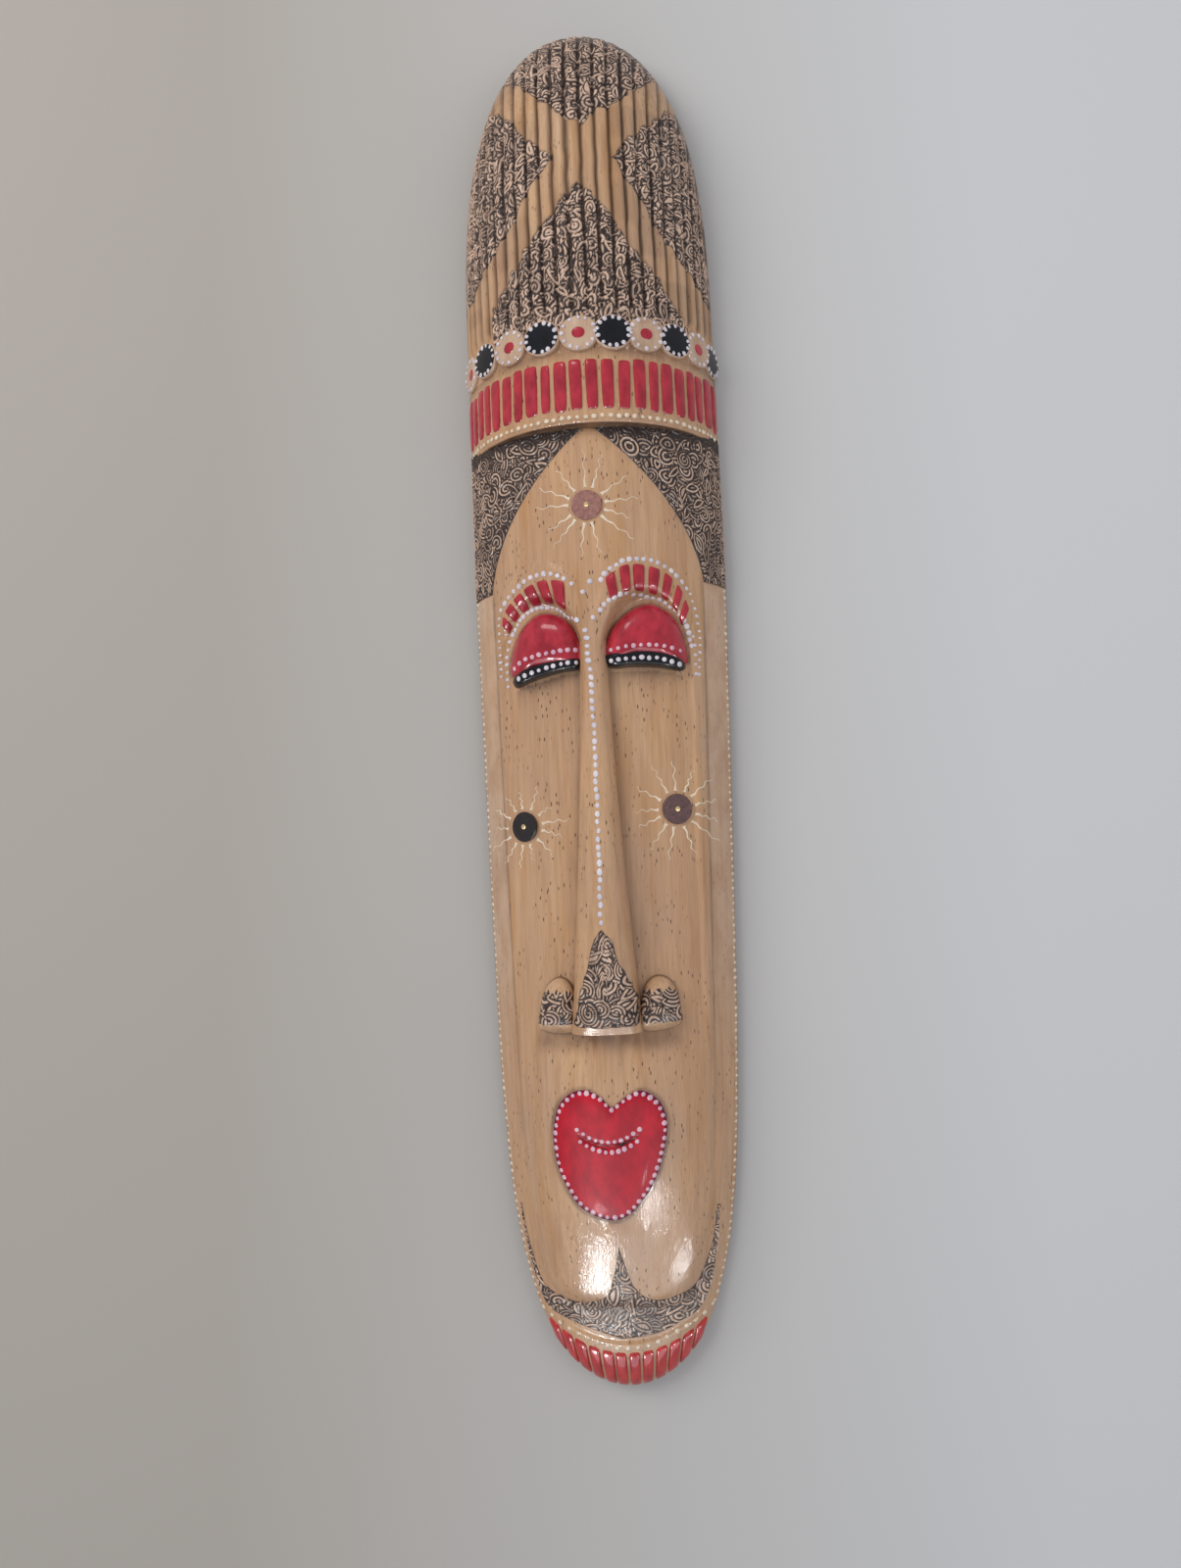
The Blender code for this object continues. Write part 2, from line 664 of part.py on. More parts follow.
def turned(name, profile, steps, collection, helper=False):
    """Solid of revolution round its own Z, from a closed profile or one that starts and ends on the axis."""
    bm = bmesh.new()
    verts = [bm.verts.new((r, 0.0, z)) for r, z in profile]
    for a, b in zip(verts, verts[1:]):
        bm.edges.new((a, b))
    if profile[0][0] > 0:
        bm.edges.new((verts[-1], verts[0]))
    mesh = bpy.data.meshes.new(name)
    bm.to_mesh(mesh)
    bm.free()
    obj = bpy.data.objects.new(name, mesh)
    collection.objects.link(obj)
    spin = obj.modifiers.new("turn", "SCREW")
    spin.steps = spin.render_steps = steps
    spin.use_merge_vertices = True
    spin.merge_threshold = 0.00001
    if helper:
        obj.hide_render = True
        obj.display_type = "WIRE"
    return obj


def disc_seats(collection):
    """Cutters for the flat seats under the discs and the holes for the tacks."""
    seat_r = DISC_DIAMETER / 2 + CLEARANCE
    hole_r = TACK_SHANK_DIAMETER / 2 + CLEARANCE
    for place, (x, y) in disc_places().items():
        bm = bmesh.new()
        for radius, low, high in ((seat_r, -DISC_SEAT, 0.010), (hole_r, -DISC_SEAT - TACK_LENGTH, 0.0)):
            made = bmesh.ops.create_cone(
                bm, cap_ends=True, segments=24 if radius > 0.005 else 10, radius1=radius, radius2=radius,
                depth=high - low,
            )
            bmesh.ops.translate(bm, verts=made["verts"], vec=(0, 0, (high + low) / 2))
            if radius == seat_r:
                bm.transform(standing_on(face_surface, x, y))
                as_object(f"seat_{place}", bm, collection, helper=True)
                bm = bmesh.new()
        bm.transform(standing_on(face_surface, x, y))
        as_object(f"tack_hole_{place}", bm, collection, helper=True)


def discs_and_tacks(collection, shell, brass):
    """Three flat discs, each with a hole for the round-headed tack that pins it."""
    disc_r, hole_r = DISC_DIAMETER / 2, TACK_SHANK_DIAMETER / 2 + CLEARANCE
    low = CLEARANCE - DISC_SEAT
    high = low + DISC_THICKNESS
    ease = 0.0004
    disc_profile = [
        (hole_r, high), (disc_r - ease, high), (disc_r, high - ease), (disc_r, low), (hole_r, low),
    ]
    head_r, shank_r = TACK_HEAD_DIAMETER / 2, TACK_SHANK_DIAMETER / 2
    head_low = high + CLEARANCE
    tip = head_low - TACK_LENGTH
    tack_profile = [(0.0, head_low + TACK_HEAD_HEIGHT)]
    for degrees in (60, 35, 10):
        a = math.radians(degrees)
        tack_profile.append((head_r * math.cos(a), head_low + TACK_HEAD_HEIGHT * math.sin(a)))
    tack_profile += [
        (head_r, head_low), (shank_r, head_low), (shank_r, tip + 2 * shank_r), (0.0, tip),
    ]
    for place, (x, y) in disc_places().items():
        stand = standing_on(face_surface, x, y)
        disc = turned(f"disc_{place}", disc_profile, 20, collection)
        tack = turned(f"tack_{place}", tack_profile, 8, collection)
        for obj, look in ((disc, shell), (tack, brass)):
            obj.matrix_world = stand
            obj.data.materials.append(look)
            obj.data.shade_smooth()


def boolean(obj, operation, operand):
    """Boolean modifier with one object or a whole collection."""
    modifier = obj.modifiers.new(operation.lower(), "BOOLEAN")
    modifier.operation = operation
    modifier.solver = "EXACT"
    if isinstance(operand, bpy.types.Collection):
        modifier.operand_type = "COLLECTION"
        modifier.collection = operand
    else:
        modifier.object = operand


def carve_mask(parts, wood):
    """The mask itself: the face block joined with the hat and all that is carved proud, then cut."""
    blanks = new_collection("blanks")
    raised = new_collection("raised_carving")
    cutters = new_collection("cutters")
    block = face_block(blanks)
    hat_block(raised)
    bosses(raised)
    band_bars(raised)
    brow_bars(raised)
    eyes(raised)
    nose(raised)
    lips(raised)
    collar_bars(raised)
    mouth_slit(cutters)
    disc_seats(cutters)
    back_hollow(cutters)
    nail_notch(cutters)
    ground(cutters)
    bpy.context.view_layer.update()
    graph = bpy.context.evaluated_depsgraph_get()
    mesh = bpy.data.meshes.new_from_object(block.evaluated_get(graph))
    mask = bpy.data.objects.new("mask", mesh)
    parts.objects.link(mask)
    mesh.materials.append(wood)
    boolean(mask, "UNION", raised)
    boolean(mask, "DIFFERENCE", cutters)
    flat = mask.modifiers.new("flat_faces", "DECIMATE")
    flat.decimate_type = "DISSOLVE"
    flat.angle_limit = FLAT_ANGLE
    return mask


def main():
    clear_scene()
    parts = new_collection("carved_mask")
    wood = material("varnished_wood", (0.48, 0.29, 0.15), 0.42)
    shell = material("dark_disc", (0.035, 0.024, 0.022), 0.20)
    brass = material("brass", (0.78, 0.56, 0.26), 0.28, metallic=1.0)
    carve_mask(parts, wood)
    discs_and_tacks(parts, shell, brass)


main()
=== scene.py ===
# %% [markdown]
# # A carved and painted wall mask, one metre long
#
# The mask is carved from one light half log. It lies on its back on a pale floor. The frame holds the plain
# solids, which give the sizes. Here each surface gets its real carving, paint and varnish.

import math

import bmesh
import bpy
import numpy as np
from mathutils import Matrix, Vector


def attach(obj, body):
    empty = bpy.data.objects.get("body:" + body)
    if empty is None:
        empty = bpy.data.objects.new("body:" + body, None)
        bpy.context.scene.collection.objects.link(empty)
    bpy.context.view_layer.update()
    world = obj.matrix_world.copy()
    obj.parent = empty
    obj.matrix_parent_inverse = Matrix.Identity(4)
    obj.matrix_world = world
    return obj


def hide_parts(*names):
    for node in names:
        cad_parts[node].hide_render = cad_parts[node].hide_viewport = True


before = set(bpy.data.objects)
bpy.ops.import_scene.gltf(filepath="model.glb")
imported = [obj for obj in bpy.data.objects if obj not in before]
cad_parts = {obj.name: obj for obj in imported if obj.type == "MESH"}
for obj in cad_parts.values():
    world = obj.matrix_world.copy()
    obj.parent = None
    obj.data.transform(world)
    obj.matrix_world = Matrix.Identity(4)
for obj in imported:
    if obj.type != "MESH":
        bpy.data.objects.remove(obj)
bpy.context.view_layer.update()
MM = 0.001
print("solids:", sorted(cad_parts))

# %% [markdown]
# ## The shape of the half log
#
# A carver starts from a half log, round in front and flat behind. Its surface is a height over the wall
# plane, so a few functions of x and y say where every chip of wood lies. They use the same sizes as the
# solids, and they take whole arrays at once, because the carving has several hundred thousand points.

# %% Sizes of the log
LENGTH = 1.000
WIDTH = 0.187
HALF = WIDTH / 2
TOP = LENGTH / 2
BOTTOM = -LENGTH / 2
EDGE = 0.007
HAT_RISE = 0.075
FACE_RISE = 0.064
LOG_RISE = 0.058
HAIR_RAISE = 0.0045
CHIN_TAPER = 0.0112
LOG_EDGE_ANGLE = math.radians(71.8)
CROWN_ROUNDNESS = 2.65
HAT_LEAN = -0.0026
STRIP = 0.0165
SHOULDER = 0.012
FACE_LEAN = -0.003
CHEEK_DEPTH = 0.0115
BROW_LIFT = 0.0022
EYE_SPAN = 0.038
NOSE_TIP_RISE = 0.083
NOSE_TOP_HALF = 0.0095
NOSE_BASE_HALF = 0.025


def along(share):
    """Height on the mask of a share of its length, counted from the chin end."""
    return BOTTOM + share * LENGTH


RIM_Y = along(0.676)
CROWN_START = along(0.776)
TAPER_START = along(0.55)
DOME_START = along(0.82)
BROW_Y = along(0.514)
NOSE_TOP_Y = along(0.548)
NOSE_BASE_Y = along(0.2525)
FACE_END_Y = along(0.063)
COLLAR_Y = along(0.036)
BOSS_Y = along(0.7395)


def smooth(low, high, value):
    t = np.clip((value - low) / (high - low), 0.0, 1.0)
    return t * t * (3 - 2 * t)


def full_arch(t):
    """Arch that falls from 1 to 0, fuller than a quarter of a circle."""
    return (1 - np.clip(t, 0, 1) ** CROWN_ROUNDNESS) ** (1 / CROWN_ROUNDNESS)


def middle_line(y):
    """x of the hat's middle, which leans a little towards the top."""
    return HAT_LEAN * np.clip((y - along(0.60)) / (TOP - along(0.60)), 0, 1)


def half_width(y):
    y = np.asarray(y, float)
    crown = np.clip((y - CROWN_START) / (TOP - CROWN_START), 0, 1)
    chin = np.clip((TAPER_START - y) / (TAPER_START - BOTTOM), 0, 1)
    upper = HALF * full_arch(crown)
    lower = (HALF - CHIN_TAPER * chin) * (1 - chin**7.4) ** 0.48
    return np.where(y >= CROWN_START, upper, lower)


def arch(t):
    foot = math.cos(LOG_EDGE_ANGLE)
    return (np.sqrt(1 - (math.sin(LOG_EDGE_ANGLE) * np.clip(t, 0, 1)) ** 2) - foot) / (1 - foot)


def domed(x, y, ridge):
    return EDGE + (ridge - EDGE) * arch(np.abs(x - middle_line(y)) / np.maximum(half_width(y), 1e-6))


def hat_surface(x, y):
    s = np.clip((y - DOME_START) / (TOP - DOME_START), 0, 1)
    return domed(x, y, EDGE + (HAT_RISE - EDGE) * (1 - s**3.15) ** 0.465)


def fall_to_chin(rise, y, bluntness):
    s = np.clip((RIM_Y - y) / (RIM_Y - BOTTOM), 0, 1)
    return EDGE + (rise - EDGE) * np.sqrt(1 - s**bluntness)


def log_surface(x, y):
    hair = HAIR_RAISE * smooth(along(0.53), along(0.59), y)
    return domed(x, y, fall_to_chin(LOG_RISE, y, 4) + hair)


def soft_min(a, b, reach):
    h = np.clip(0.5 + 0.5 * (b - a) / reach, 0, 1)
    return b + (a - b) * h - reach * h * (1 - h)


def ogive_half(y):
    """Half width of the forehead's pointed arch."""
    q = np.clip((y - along(0.56)) / (RIM_Y + 0.002 - along(0.56)), 0, 1)
    return 0.98 * (HALF - STRIP) * (1 - q**1.9) + 0.0015


def inside_face(x, y):
    side = np.minimum(half_width(y) - STRIP, ogive_half(y)) - np.abs(x - middle_line(y))
    return soft_min(side, y - FACE_END_Y, 0.020)


def eye_side(x):
    return np.where(x < FACE_LEAN, -1.0, 1.0)


def cheek_hollow(x, y):
    dx = x - FACE_LEAN - eye_side(x) * EYE_SPAN
    ring = (dx / 0.031) ** 2 + (np.maximum(y - BROW_Y, 0) / 0.045) ** 2
    reach = np.where(x < FACE_LEAN, 0.056, 0.068)
    fade_out = 1 - smooth(0.026, reach, np.abs(x - FACE_LEAN))
    fade_down = smooth(along(0.205), along(0.300), y)
    return (1 - smooth(0.78, 1.08, ring)) * (0.35 + 0.65 * fade_out) * fade_down


def brow_ridge(x, y):
    dx = x - FACE_LEAN - eye_side(x) * EYE_SPAN
    dy = (y - BROW_Y) / 0.058
    ring = np.sqrt((dx / 0.034) ** 2 + dy * dy)
    return smooth(0.76, 0.90, ring) * (1 - smooth(1.08, 1.25, ring)) * smooth(0.30, 0.55, dy)


def face_surface(x, y):
    x, y = np.asarray(x, float), np.asarray(y, float)
    log = log_surface(x, y)
    inside = inside_face(x, y)
    face = domed(x, y, fall_to_chin(FACE_RISE, y, 6))
    face = face + BROW_LIFT * brow_ridge(x, y) - CHEEK_DEPTH * cheek_hollow(x, y)
    s = np.clip(inside / SHOULDER, 0, 1)
    collar = 0.0016 * smooth(-0.0015, 0.0015, collar_line(x) - y)
    return np.where(inside > 0, log + (face - log) * np.sqrt(1 - (1 - s) ** 2), log + collar)


def collar_line(x):
    return COLLAR_Y + 0.019 * (x / 0.055) ** 2


def nose_half(y):
    s = np.clip((NOSE_TOP_Y - y) / (NOSE_TOP_Y - NOSE_BASE_Y), 0, 1)
    return NOSE_TOP_HALF + (NOSE_BASE_HALF - NOSE_TOP_HALF) * s**1.6


def nose_surface(x, y):
    x, y = np.asarray(x, float), np.asarray(y, float)
    s = np.clip((NOSE_TOP_Y - y) / (NOSE_TOP_Y - NOSE_BASE_Y), 0, 1)
    start = domed(FACE_LEAN, NOSE_TOP_Y, fall_to_chin(FACE_RISE, NOSE_TOP_Y, 6))
    crest = start + (NOSE_TIP_RISE - start) * s**1.3
    crest = crest - 0.009 * (1 - smooth(0.0, 0.016, y - NOSE_BASE_Y)) ** 2
    ground = face_surface(FACE_LEAN + 1.15 * nose_half(y), y)
    u = np.clip(np.abs(x - FACE_LEAN) / nose_half(y), 0, 1)
    return ground + (crest - ground) * np.sqrt(1 - u**2.8)


arc_steps = np.sin(np.linspace(0, math.pi / 2, 801)) * HALF
arc_heights = hat_surface(arc_steps, np.full(801, RIM_Y))
ARC_TABLE = np.concatenate([[0], np.cumsum(np.hypot(np.diff(arc_steps), np.diff(arc_heights)))])
HALF_ARC = float(ARC_TABLE[-1])


def across(arc):
    """x of a point that lies that far from the middle, measured over the curve of the log."""
    return np.sign(arc) * np.interp(np.abs(arc), ARC_TABLE, arc_steps)


def arc_of(x):
    return np.sign(x) * np.interp(np.abs(x), arc_steps, ARC_TABLE)


def normal_of(surface, x, y):
    step = 0.0008
    slope_x = (surface(x + step, y) - surface(x - step, y)) / (2 * step)
    slope_y = (surface(x, y + step) - surface(x, y - step)) / (2 * step)
    n = np.stack([-slope_x, -slope_y, np.ones_like(slope_x)], axis=-1)
    return n / np.linalg.norm(n, axis=-1, keepdims=True)


print(f"half the hat's curve is {HALF_ARC * 1000:.0f} mm")

# %% [markdown]
# ## Materials
#
# The wood is pale, straight in the grain and full of small dark pores, under a satin varnish. The paints
# are thick and glossy. Every pattern is worked out from the object's own coordinates, in metres, so that it
# keeps its scale and stays on the wood. A colour written as three numbers from 0 to 255 is what the eye
# reads, and the shader wants light values, so `seen` turns one into the other.

# %% Helpers for materials
def seen(r, g, b):
    light = (((c / 255 + 0.055) / 1.055) ** 2.4 if c > 10 else c / 255 / 12.92 for c in (r, g, b))
    return (*light, 1.0)


class Nodes:
    """A material's node tree, with a short way to add and link nodes."""

    def __init__(self, name, roughness, coat=0.0, metallic=0.0, coat_roughness=0.1):
        self.material = bpy.data.materials.new(name)
        self.material.use_nodes = True
        self.tree = self.material.node_tree
        self.shader = self.tree.nodes["Principled BSDF"]
        self.shader.inputs["Roughness"].default_value = roughness
        self.shader.inputs["Specular IOR Level"].default_value = 0.2
        self.shader.inputs["Metallic"].default_value = metallic
        self.shader.inputs["Coat Weight"].default_value = coat
        self.shader.inputs["Coat Roughness"].default_value = coat_roughness

    def add(self, kind, inputs=None, **settings):
        node = self.tree.nodes.new(kind)
        for key, value in settings.items():
            setattr(node, key, value)
        for key, value in (inputs or {}).items():
            if isinstance(value, bpy.types.NodeSocket):
                self.tree.links.new(value, node.inputs[key])
            else:
                node.inputs[key].default_value = value
        return node

    def coords(self, scale, shift=(0, 0, 0)):
        where = self.add("ShaderNodeTexCoord").outputs["Object"]
        return self.add("ShaderNodeMapping", {"Vector": where, "Scale": scale, "Location": shift}).outputs[0]

    def noise(self, scale, detail=3.0, rough=0.5, shift=(0, 0, 0), distortion=0.0):
        made = self.add(
            "ShaderNodeTexNoise",
            {"Vector": self.coords(scale, shift), "Scale": 1.0, "Detail": detail, "Roughness": rough,
             "Distortion": distortion},
        )
        return made.outputs[0]

    def ramp(self, value, low, high, out_low=0.0, out_high=1.0):
        made = self.add(
            "ShaderNodeMapRange",
            {"Value": value, "From Min": low, "From Max": high, "To Min": out_low, "To Max": out_high},
        )
        return made.outputs[0]

    def math(self, operation, a, b):
        return self.add("ShaderNodeMath", {0: a, 1: b}, operation=operation).outputs[0]

    def mix(self, factor, a, b):
        made = self.add("ShaderNodeMix", data_type="RGBA")
        for index, value in ((0, factor), (6, a), (7, b)):
            if isinstance(value, bpy.types.NodeSocket):
                self.tree.links.new(value, made.inputs[index])
            else:
                made.inputs[index].default_value = value
        return made.outputs[2]

    def channel(self, index):
        """One of the three values that the mesh carries at each point."""
        paint = self.add("ShaderNodeAttribute", attribute_name="paint", attribute_type="GEOMETRY")
        return self.add("ShaderNodeSeparateColor", {0: paint.outputs["Color"]}).outputs[index]

    def bump(self, height, distance):
        made = self.add("ShaderNodeBump", {"Height": height, "Distance": distance, "Strength": 1.0})
        return made.outputs[0]

    def finish(self, colour, normal=None, coat_normal=None):
        for socket, value in (("Base Color", colour), ("Normal", normal), ("Coat Normal", coat_normal)):
            if isinstance(value, bpy.types.NodeSocket):
                self.tree.links.new(value, self.shader.inputs[socket])
            elif value is not None:
                self.shader.inputs[socket].default_value = value
        return self.material


# %% The wood
ROSY = seen(186, 150, 124)
AMBER = seen(186, 136, 84)
PORE = seen(84, 56, 40)


def wood_colour(m, light, mid, dark):
    """Straight grain along the mask: broad bands, fine streaks, fibres and pores."""
    bands = m.noise((48, 3.0, 48), 4, 0.55, distortion=0.6)
    streaks = m.noise((330, 14, 330), 3, 0.6, shift=(3, 1, 2))
    fibres = m.noise((1500, 42, 1500), 2, 0.6, shift=(7, 5, 1))
    colour = m.mix(m.ramp(bands, 0.34, 0.66), mid, light)
    clouds = m.noise((22, 9, 22), 3, 0.6, shift=(5, 2, 6))
    colour = m.mix(m.ramp(clouds, 0.40, 0.66, 0.0, 0.55), colour, ROSY)
    amber = m.noise((70, 9, 70), 3, 0.6, shift=(8, 3, 3))
    colour = m.mix(m.ramp(amber, 0.50, 0.72, 0.0, 0.62), colour, AMBER)
    colour = m.mix(m.ramp(streaks, 0.45, 0.75, 0.0, 0.36), colour, dark)
    colour = m.mix(m.ramp(fibres, 0.50, 0.78, 0.0, 0.32), colour, dark)
    cells = m.add("ShaderNodeTexVoronoi", {"Vector": m.coords((420, 120, 420)), "Scale": 1.0})
    patches = m.noise((40, 22, 40), 2, 0.5, shift=(1, 9, 4))
    pores = m.math("MULTIPLY", m.ramp(cells.outputs["Distance"], 0.22, 0.13), m.ramp(patches, 0.44, 0.56))
    return colour, pores, fibres


def wood_material(name, light, mid, dark, coat, roughness):
    m = Nodes(name, roughness, coat=coat, coat_roughness=0.05)
    colour, pores, fibres = wood_colour(m, seen(*light), seen(*mid), seen(*dark))
    colour = m.mix(m.math("MULTIPLY", pores, 0.9), colour, PORE)
    # Channel 0 darkens the wood: real stain, and painted shade in the creases, in the crevices round the
    # pads, under the lashes and the rim of the hat, and on the sides of the nose.
    stain_and_shade = m.channel(0)
    blotches = m.noise((75, 40, 75), 4, 0.6, shift=(2, 2, 8))
    blotchy_stain_and_shade = m.math("MULTIPLY", stain_and_shade, m.ramp(blotches, 0.30, 0.62, 0.45, 1.0))
    colour = m.mix(blotchy_stain_and_shade, colour, seen(88, 62, 50))
    # Channel 1 lightens the wood: the cream paint of the bosses, and on the side strips paler wood with a
    # painted sheen.
    pale = m.mix(m.ramp(blotches, 0.38, 0.62), seen(210, 184, 162), seen(184, 152, 128))
    colour = m.mix(m.channel(1), colour, pale)
    height = m.math("SUBTRACT", fibres, m.math("MULTIPLY", pores, 0.9))
    runs = m.noise((90, 36, 90), 3, 0.55, shift=(4, 6, 1))
    varnish = m.math("ADD", runs, m.math("MULTIPLY", fibres, 0.25))
    return m.finish(colour, normal=m.bump(height, 0.00022), coat_normal=m.bump(varnish, 0.0006))


WOOD = wood_material("varnished_wood", (212, 171, 132), (196, 152, 114), (146, 104, 70), 0.55, 0.40)

# %% [markdown]
# The swirls of the hair and hat are cut with a small gouge, stained dark and wiped, so that the ridges stay
# pale. The mesh carries three values at each point: how dark the stain and the painted shade are, how pale
# the ridge is, and whether the point lies in a swirled area at all.

# %% Swirled wood
def swirl_material():
    m = Nodes("stained_swirls", 0.48, coat=0.30, coat_roughness=0.2)
    colour, pores, fibres = wood_colour(m, seen(214, 176, 138), seen(194, 152, 114), seen(140, 98, 66))
    colour = m.mix(m.math("MULTIPLY", pores, 0.6), colour, PORE)
    # Channel 0 darkens: the stain in the grooves and cuts, and painted shade under the rim of the hat and in
    # the crevices round the swirled pads and sheets.
    groove = m.channel(0)
    ridge = m.channel(1)
    area = m.channel(2)
    wander = m.noise((260, 260, 260), 3, 0.6)
    dark = m.mix(m.ramp(wander, 0.35, 0.65), seen(40, 33, 34), seen(78, 62, 56))
    pale = m.mix(m.ramp(wander, 0.30, 0.70), seen(196, 160, 138), seen(232, 202, 178))
    swirls = m.mix(m.ramp(ridge, 0.30, 0.80), dark, pale)
    colour = m.mix(m.ramp(area, 0.4, 0.6), colour, swirls)
    colour = m.mix(m.math("MULTIPLY", groove, 0.92), colour, seen(58, 46, 42))
    return m.finish(colour, normal=m.bump(fibres, 0.00015))


SWIRLS = swirl_material()

# %% [markdown]
# The paints are brushed enamels. A little unevenness in the colour and a soft bump keep them from looking
# like plastic.

# %% Enamels, discs and brass
def enamel(name, light, dark, roughness=0.22, coat=0.6, patch=0.35, rim=False):
    m = Nodes(name, roughness, coat=coat, coat_roughness=0.08)
    cloud = m.noise((120, 70, 120), 3, 0.55)
    colour = m.mix(m.ramp(cloud, 0.35, 0.65), seen(*dark), seen(*light))
    brush = m.noise((600, 160, 600), 2, 0.5, shift=(4, 4, 4))
    colour = m.mix(m.ramp(brush, 0.55, 0.75, 0.0, patch), colour, seen(*dark))
    # For the lips, channel 0 darkens the edge to a purplish red: darker paint, and painted shade where the
    # pad meets the wood.
    if rim:
        colour = m.mix(m.channel(0), colour, seen(96, 26, 62))
    return m.finish(colour, normal=m.bump(brush, 0.00012))


RED = enamel("red_enamel", (190, 46, 62), (152, 28, 44), roughness=0.30, coat=0.6)
SCARLET = enamel("scarlet_enamel", (206, 56, 54), (168, 36, 40), roughness=0.30, coat=0.6)
LIP_RED = enamel("lip_enamel", (200, 20, 44), (168, 14, 36), roughness=0.50, coat=0.04, rim=True)
BLACK = enamel("black_enamel", (20, 22, 30), (12, 12, 16), roughness=0.30, coat=0.3)
# Painted shade for the slit between the lips.
SLIT_SHADE = enamel("slit_shade", (116, 58, 54), (60, 30, 30), roughness=0.30, coat=0.3)
PINK = enamel("pink_enamel", (238, 198, 210), (214, 170, 188), roughness=0.35, coat=0.2)
WHITE = enamel("white_enamel", (236, 228, 232), (206, 198, 208), roughness=0.35, coat=0.2)
CREAM = enamel("cream_paint", (240, 226, 204), (224, 204, 176), roughness=0.4, coat=0.1)


def shell_material(name, light, dark):
    m = Nodes(name, 0.18, coat=0.7, coat_roughness=0.06)
    rings = m.noise((300, 300, 300), 3, 0.6, distortion=1.2)
    colour = m.mix(m.ramp(rings, 0.35, 0.68), seen(*dark), seen(*light))
    return m.finish(colour, normal=m.bump(rings, 0.0001))


# The discs are polished shell. The forehead's brown and the right cheek's plum are the dark shell's colour
# lightened by a painted reflection, strong on the forehead and weaker on the cheek.
DISC_LOOKS = {
    "disc_forehead": shell_material("shell_painted_bright_reflection", (176, 128, 116), (138, 94, 86)),
    "disc_right_cheek": shell_material("shell_painted_soft_reflection", (118, 88, 86), (84, 60, 60)),
    "disc_left_cheek": shell_material("dark_shell", (44, 34, 34), (26, 20, 20)),
}
BRASS = Nodes("brass_tack", 0.35, metallic=0.7).finish(seen(226, 198, 150))

# %% [markdown]
# ## Making pieces
#
# Each piece is a bmesh grid or a row of small shapes, bent onto the log by the functions above. `sheet`
# moves all the points of a grid at once, and `finish_piece` puts the piece in the frame.

# %% Helpers for pieces
def finish_piece(name, bm, material):
    mesh = bpy.data.meshes.new(name)
    bm.to_mesh(mesh)
    bm.free()
    mesh.materials.append(material)
    mesh.polygons.foreach_set("use_smooth", np.full(len(mesh.polygons), True))
    obj = bpy.data.objects.new(name, mesh)
    bpy.context.scene.collection.objects.link(obj)
    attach(obj, "root")
    return obj


def unit_grid(columns, rows):
    """A flat grid, and its u and v from 0 to 1 as arrays."""
    bm = bmesh.new()
    bmesh.ops.create_grid(bm, x_segments=columns, y_segments=rows, size=0.5)
    uv = np.array([v.co[:2] for v in bm.verts]) + 0.5
    return bm, uv[:, 0], uv[:, 1]


def set_points(bm, points):
    for vert, point in zip(bm.verts, points.tolist()):
        vert.co = point


def set_paint(obj, *channels):
    """Stores up to three values per point for the material to read."""
    layer = obj.data.attributes.new("paint", "FLOAT_COLOR", "POINT")
    count = len(obj.data.vertices)
    values = np.zeros((count, 4), np.float32)
    values[:, 3] = 1
    for index, channel in enumerate(channels):
        values[:, index] = channel
    layer.data.foreach_set("color", values.ravel())


def sheet(name, columns, rows, place, material):
    """A surface from place(u, v) -> points, with its paint channels from the same call."""
    bm, u, v = unit_grid(columns, rows)
    points, channels = place(u, v)
    set_points(bm, points)
    obj = finish_piece(name, bm, material)
    set_paint(obj, *channels)
    print(f"{name}: {2 * columns * rows} triangles")
    return obj


# %% [markdown]
# ## Outlines
#
# Lids, lashes, lips and nostrils have outlines drawn by a few points in millimetres. The ground needs those
# of the eyes and the lips early, because the stain and the painted shade lie round and below them.

# %% Outlines
LOOP_POINTS = 256


def between(a, b, c, d, f):
    """The point at a share f of the way from b to c, on a smooth curve through all four."""
    return 0.5 * (2 * b + (c - a) * f + (2 * a - 5 * b + 4 * c - d) * f**2 + (3 * b - a - 3 * c + d) * f**3)


def smooth_loop(points):
    """A closed curve through a few points."""
    p = np.array(points, float)
    n = len(p)
    t = np.linspace(0, n, LOOP_POINTS, endpoint=False)
    i = t.astype(int)
    return between(p[(i - 1) % n], p[i % n], p[(i + 1) % n], p[(i + 2) % n], (t - i)[:, None])


def distances(points):
    """How far along a line of points each of them lies."""
    return np.concatenate([[0], np.cumsum(np.hypot(*np.diff(points, axis=0).T))])


class Outline:
    """A closed outline, seen from a point inside it."""

    def __init__(self, points, middle):
        self.loop = smooth_loop(points) * MM
        self.middle = np.array(middle, float) * MM
        d = self.loop - self.middle
        angle = np.arctan2(d[:, 1], d[:, 0])
        order = np.argsort(angle)
        self.angle, self.radius = angle[order], np.hypot(d[:, 0], d[:, 1])[order]

    def reach(self, angle):
        return np.interp(angle, self.angle, self.radius, period=2 * math.pi)

    def share(self, x, y):
        """0 in the middle and 1 on the outline."""
        dx, dy = x - self.middle[0], y - self.middle[1]
        return np.hypot(dx, dy) / np.maximum(self.reach(np.arctan2(dy, dx)), 1e-6)


